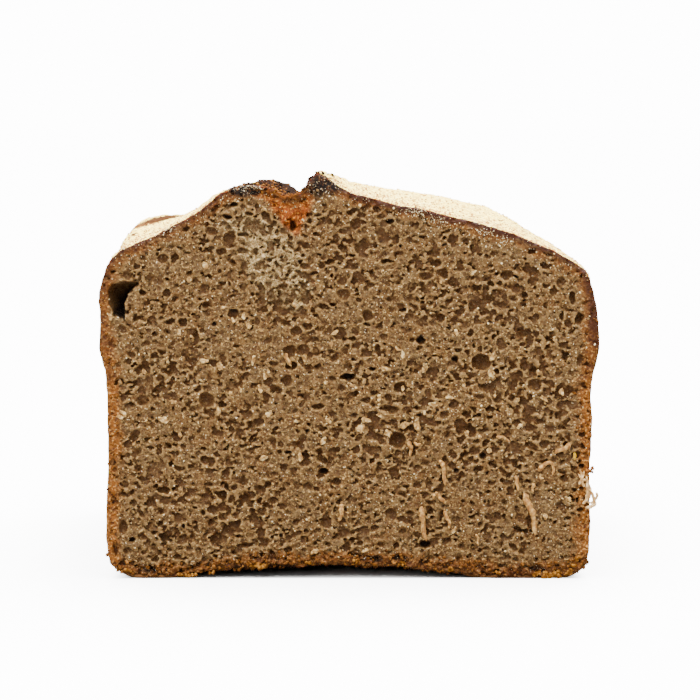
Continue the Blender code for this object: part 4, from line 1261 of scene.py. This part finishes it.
def rod(path, thickness, seed):
    """A closed, slightly lumpy tube along points, which thins out to its ends."""
    path = np.asarray(path)
    along = np.gradient(path, axis=0)
    along /= np.linalg.norm(along, axis=1, keepdims=True)
    side = np.cross(along, (0, 1, 0.001))
    side /= np.linalg.norm(side, axis=1, keepdims=True)
    other = np.cross(side, along)
    share = np.linspace(-1, 1, len(path))
    half = thickness / 2 * np.sqrt(np.maximum(1 - share ** 6, 0.03)) * (1 + 0.28 * share)
    turn = np.linspace(0, 2 * math.pi, ROLL_SIDES, endpoint=False)
    ring = side[:, None] * np.cos(turn)[None, :, None] + other[:, None] * np.sin(turn)[None, :, None]
    around = np.moveaxis(path[:, None] + ring * 0.4, 2, 0)
    swell = 1 + 0.24 * lumps(*around, 0.8, seed)
    swell += 0.20 * lumps(*around, 0.4, seed + 1)
    points = path[:, None] + ring * (half[:, None] * swell)[:, :, None]
    last = (len(path) - 1) * ROLL_SIDES
    start, stop = last + ROLL_SIDES, last + ROLL_SIDES + 1
    sides = [(j, (j + 1) % ROLL_SIDES) for j in range(ROLL_SIDES)]
    faces = [
        (row + j, row + k, row + ROLL_SIDES + k, row + ROLL_SIDES + j)
        for row in range(0, last, ROLL_SIDES) for j, k in sides
    ]
    for j, k in sides:
        faces += [(k, j, start), (last + j, last + k, stop)]
    mesh = bpy.data.meshes.new("rod")
    mesh.from_pydata([*points.reshape(-1, 3) * MM, path[0] * MM, path[-1] * MM], [], faces)
    face_outwards(mesh)
    return mesh


rolled = []
for i, (at_x, at_z, length, lean, thickness, bow) in enumerate(CRUMB_ROLLS):
    share = np.linspace(-0.5, 0.5, ROLL_STATIONS)
    out = bow * (1 - 4 * share ** 2) + 0.12 * np.sin(share * 9 + i)
    tilt = math.radians(lean)
    x = at_x - share * length * math.sin(tilt) + out * math.cos(tilt)
    z = at_z + share * length * math.cos(tilt) + out * math.sin(tilt)
    y = CUT / MM - 0.22 * thickness + 0.1 * np.cos(share * 7 + i)
    rolled.append(rod(np.stack([x, y, z], axis=1), thickness, 60 + i))
hook_share = np.linspace(0, len(HOOKED_ROLL) - 1, ROLL_STATIONS)
hook_x, hook_z = (np.interp(hook_share, np.arange(len(HOOKED_ROLL)), line) for line in zip(*HOOKED_ROLL))
path = np.stack([hook_x, np.full(ROLL_STATIONS, CUT / MM - 0.25), hook_z], axis=1)
rolled.append(rod(soften(path, 2.5, 0, False), 0.9, 80))
# Crumb pressed dense and smooth by the knife, lighter than the face that it lies on.
roll_matter = crumb_like("rolled_moist_crumb", "#9b6f37", "#754b20", "#c39b5c", 0.8, 0.5)
strewn_piece("rolled_crumbs", rolled, roll_matter)


# Threads on the right edge. Fine rolled threads of crumb hang in a tangle from the cut edge,
# with a crumb of crust above them.

EDGE_THREADS = (
    # Start across, up and in front of the cut, length, heading and turn in degrees, and thickness.
    (53.0, 25.5, 0.3, 4.4, -88, 20, 0.70), (53.9, 25.1, 0.5, 3.6, -100, -25, 0.65),
    (52.6, 24.3, 0.4, 2.6, -70, 60, 0.60), (54.3, 23.9, 0.5, 7.0, -60, -70, 0.95),
    (54.9, 20.9, 0.6, 6.2, -25, -150, 0.95), (54.6, 18.0, 0.4, 4.2, -40, 170, 0.75),
    (55.1, 22.1, 0.2, 3.6, -80, -20, 0.60), (54.7, 16.8, 0.3, 2.6, -30, 120, 0.60),
)
THREAD_REACH = 56.9
threads = []
for i, (x, z, front_by, length, heading, turn, thickness) in enumerate(EDGE_THREADS):
    share = np.linspace(0, 1, ROLL_STATIONS)
    way = np.radians(heading + turn * share + 14 * np.sin(share * 8 + i))
    step = length / ROLL_STATIONS
    path_x = x + np.cumsum(np.cos(way)) * step
    path_z = z + np.cumsum(np.sin(way)) * step
    path_y = CUT / MM - front_by * (0.3 + share) + 0.2 * np.sin(share * 6 + i)
    path = np.stack([np.minimum(path_x, THREAD_REACH), path_y, path_z], axis=1)
    threads.append(rod(path, 0.82 * thickness, 90 + i))
# The same pressed crumb, finer and dried paler in the air.
thread_matter = crumb_like("pale_moist_thread", "#b89058", "#8c6230", "#d9bd8c", 0.8, 0.5)
strewn_piece("edge_threads", threads, thread_matter)


# Yellow fleck. A broken bit of maize husk that was baked into the crumb near the right edge, drawn
# as one thicker, flatter flake.

# Maize husk, the one saturated yellow in the crumb.
maize = crumb_like("maize_husk", "#bb8d12", "#94690c", "#d4ac2c", 0.9, 0.4)
fleck = laid_on_cut(flake(33, 1.9, 0.9, 0.3, 0.35), 51.8, 28.4, 4, 0.35)
strewn_piece("maize_fleck", [fleck], maize)

bpy.data.objects.remove(crumb_sheet)
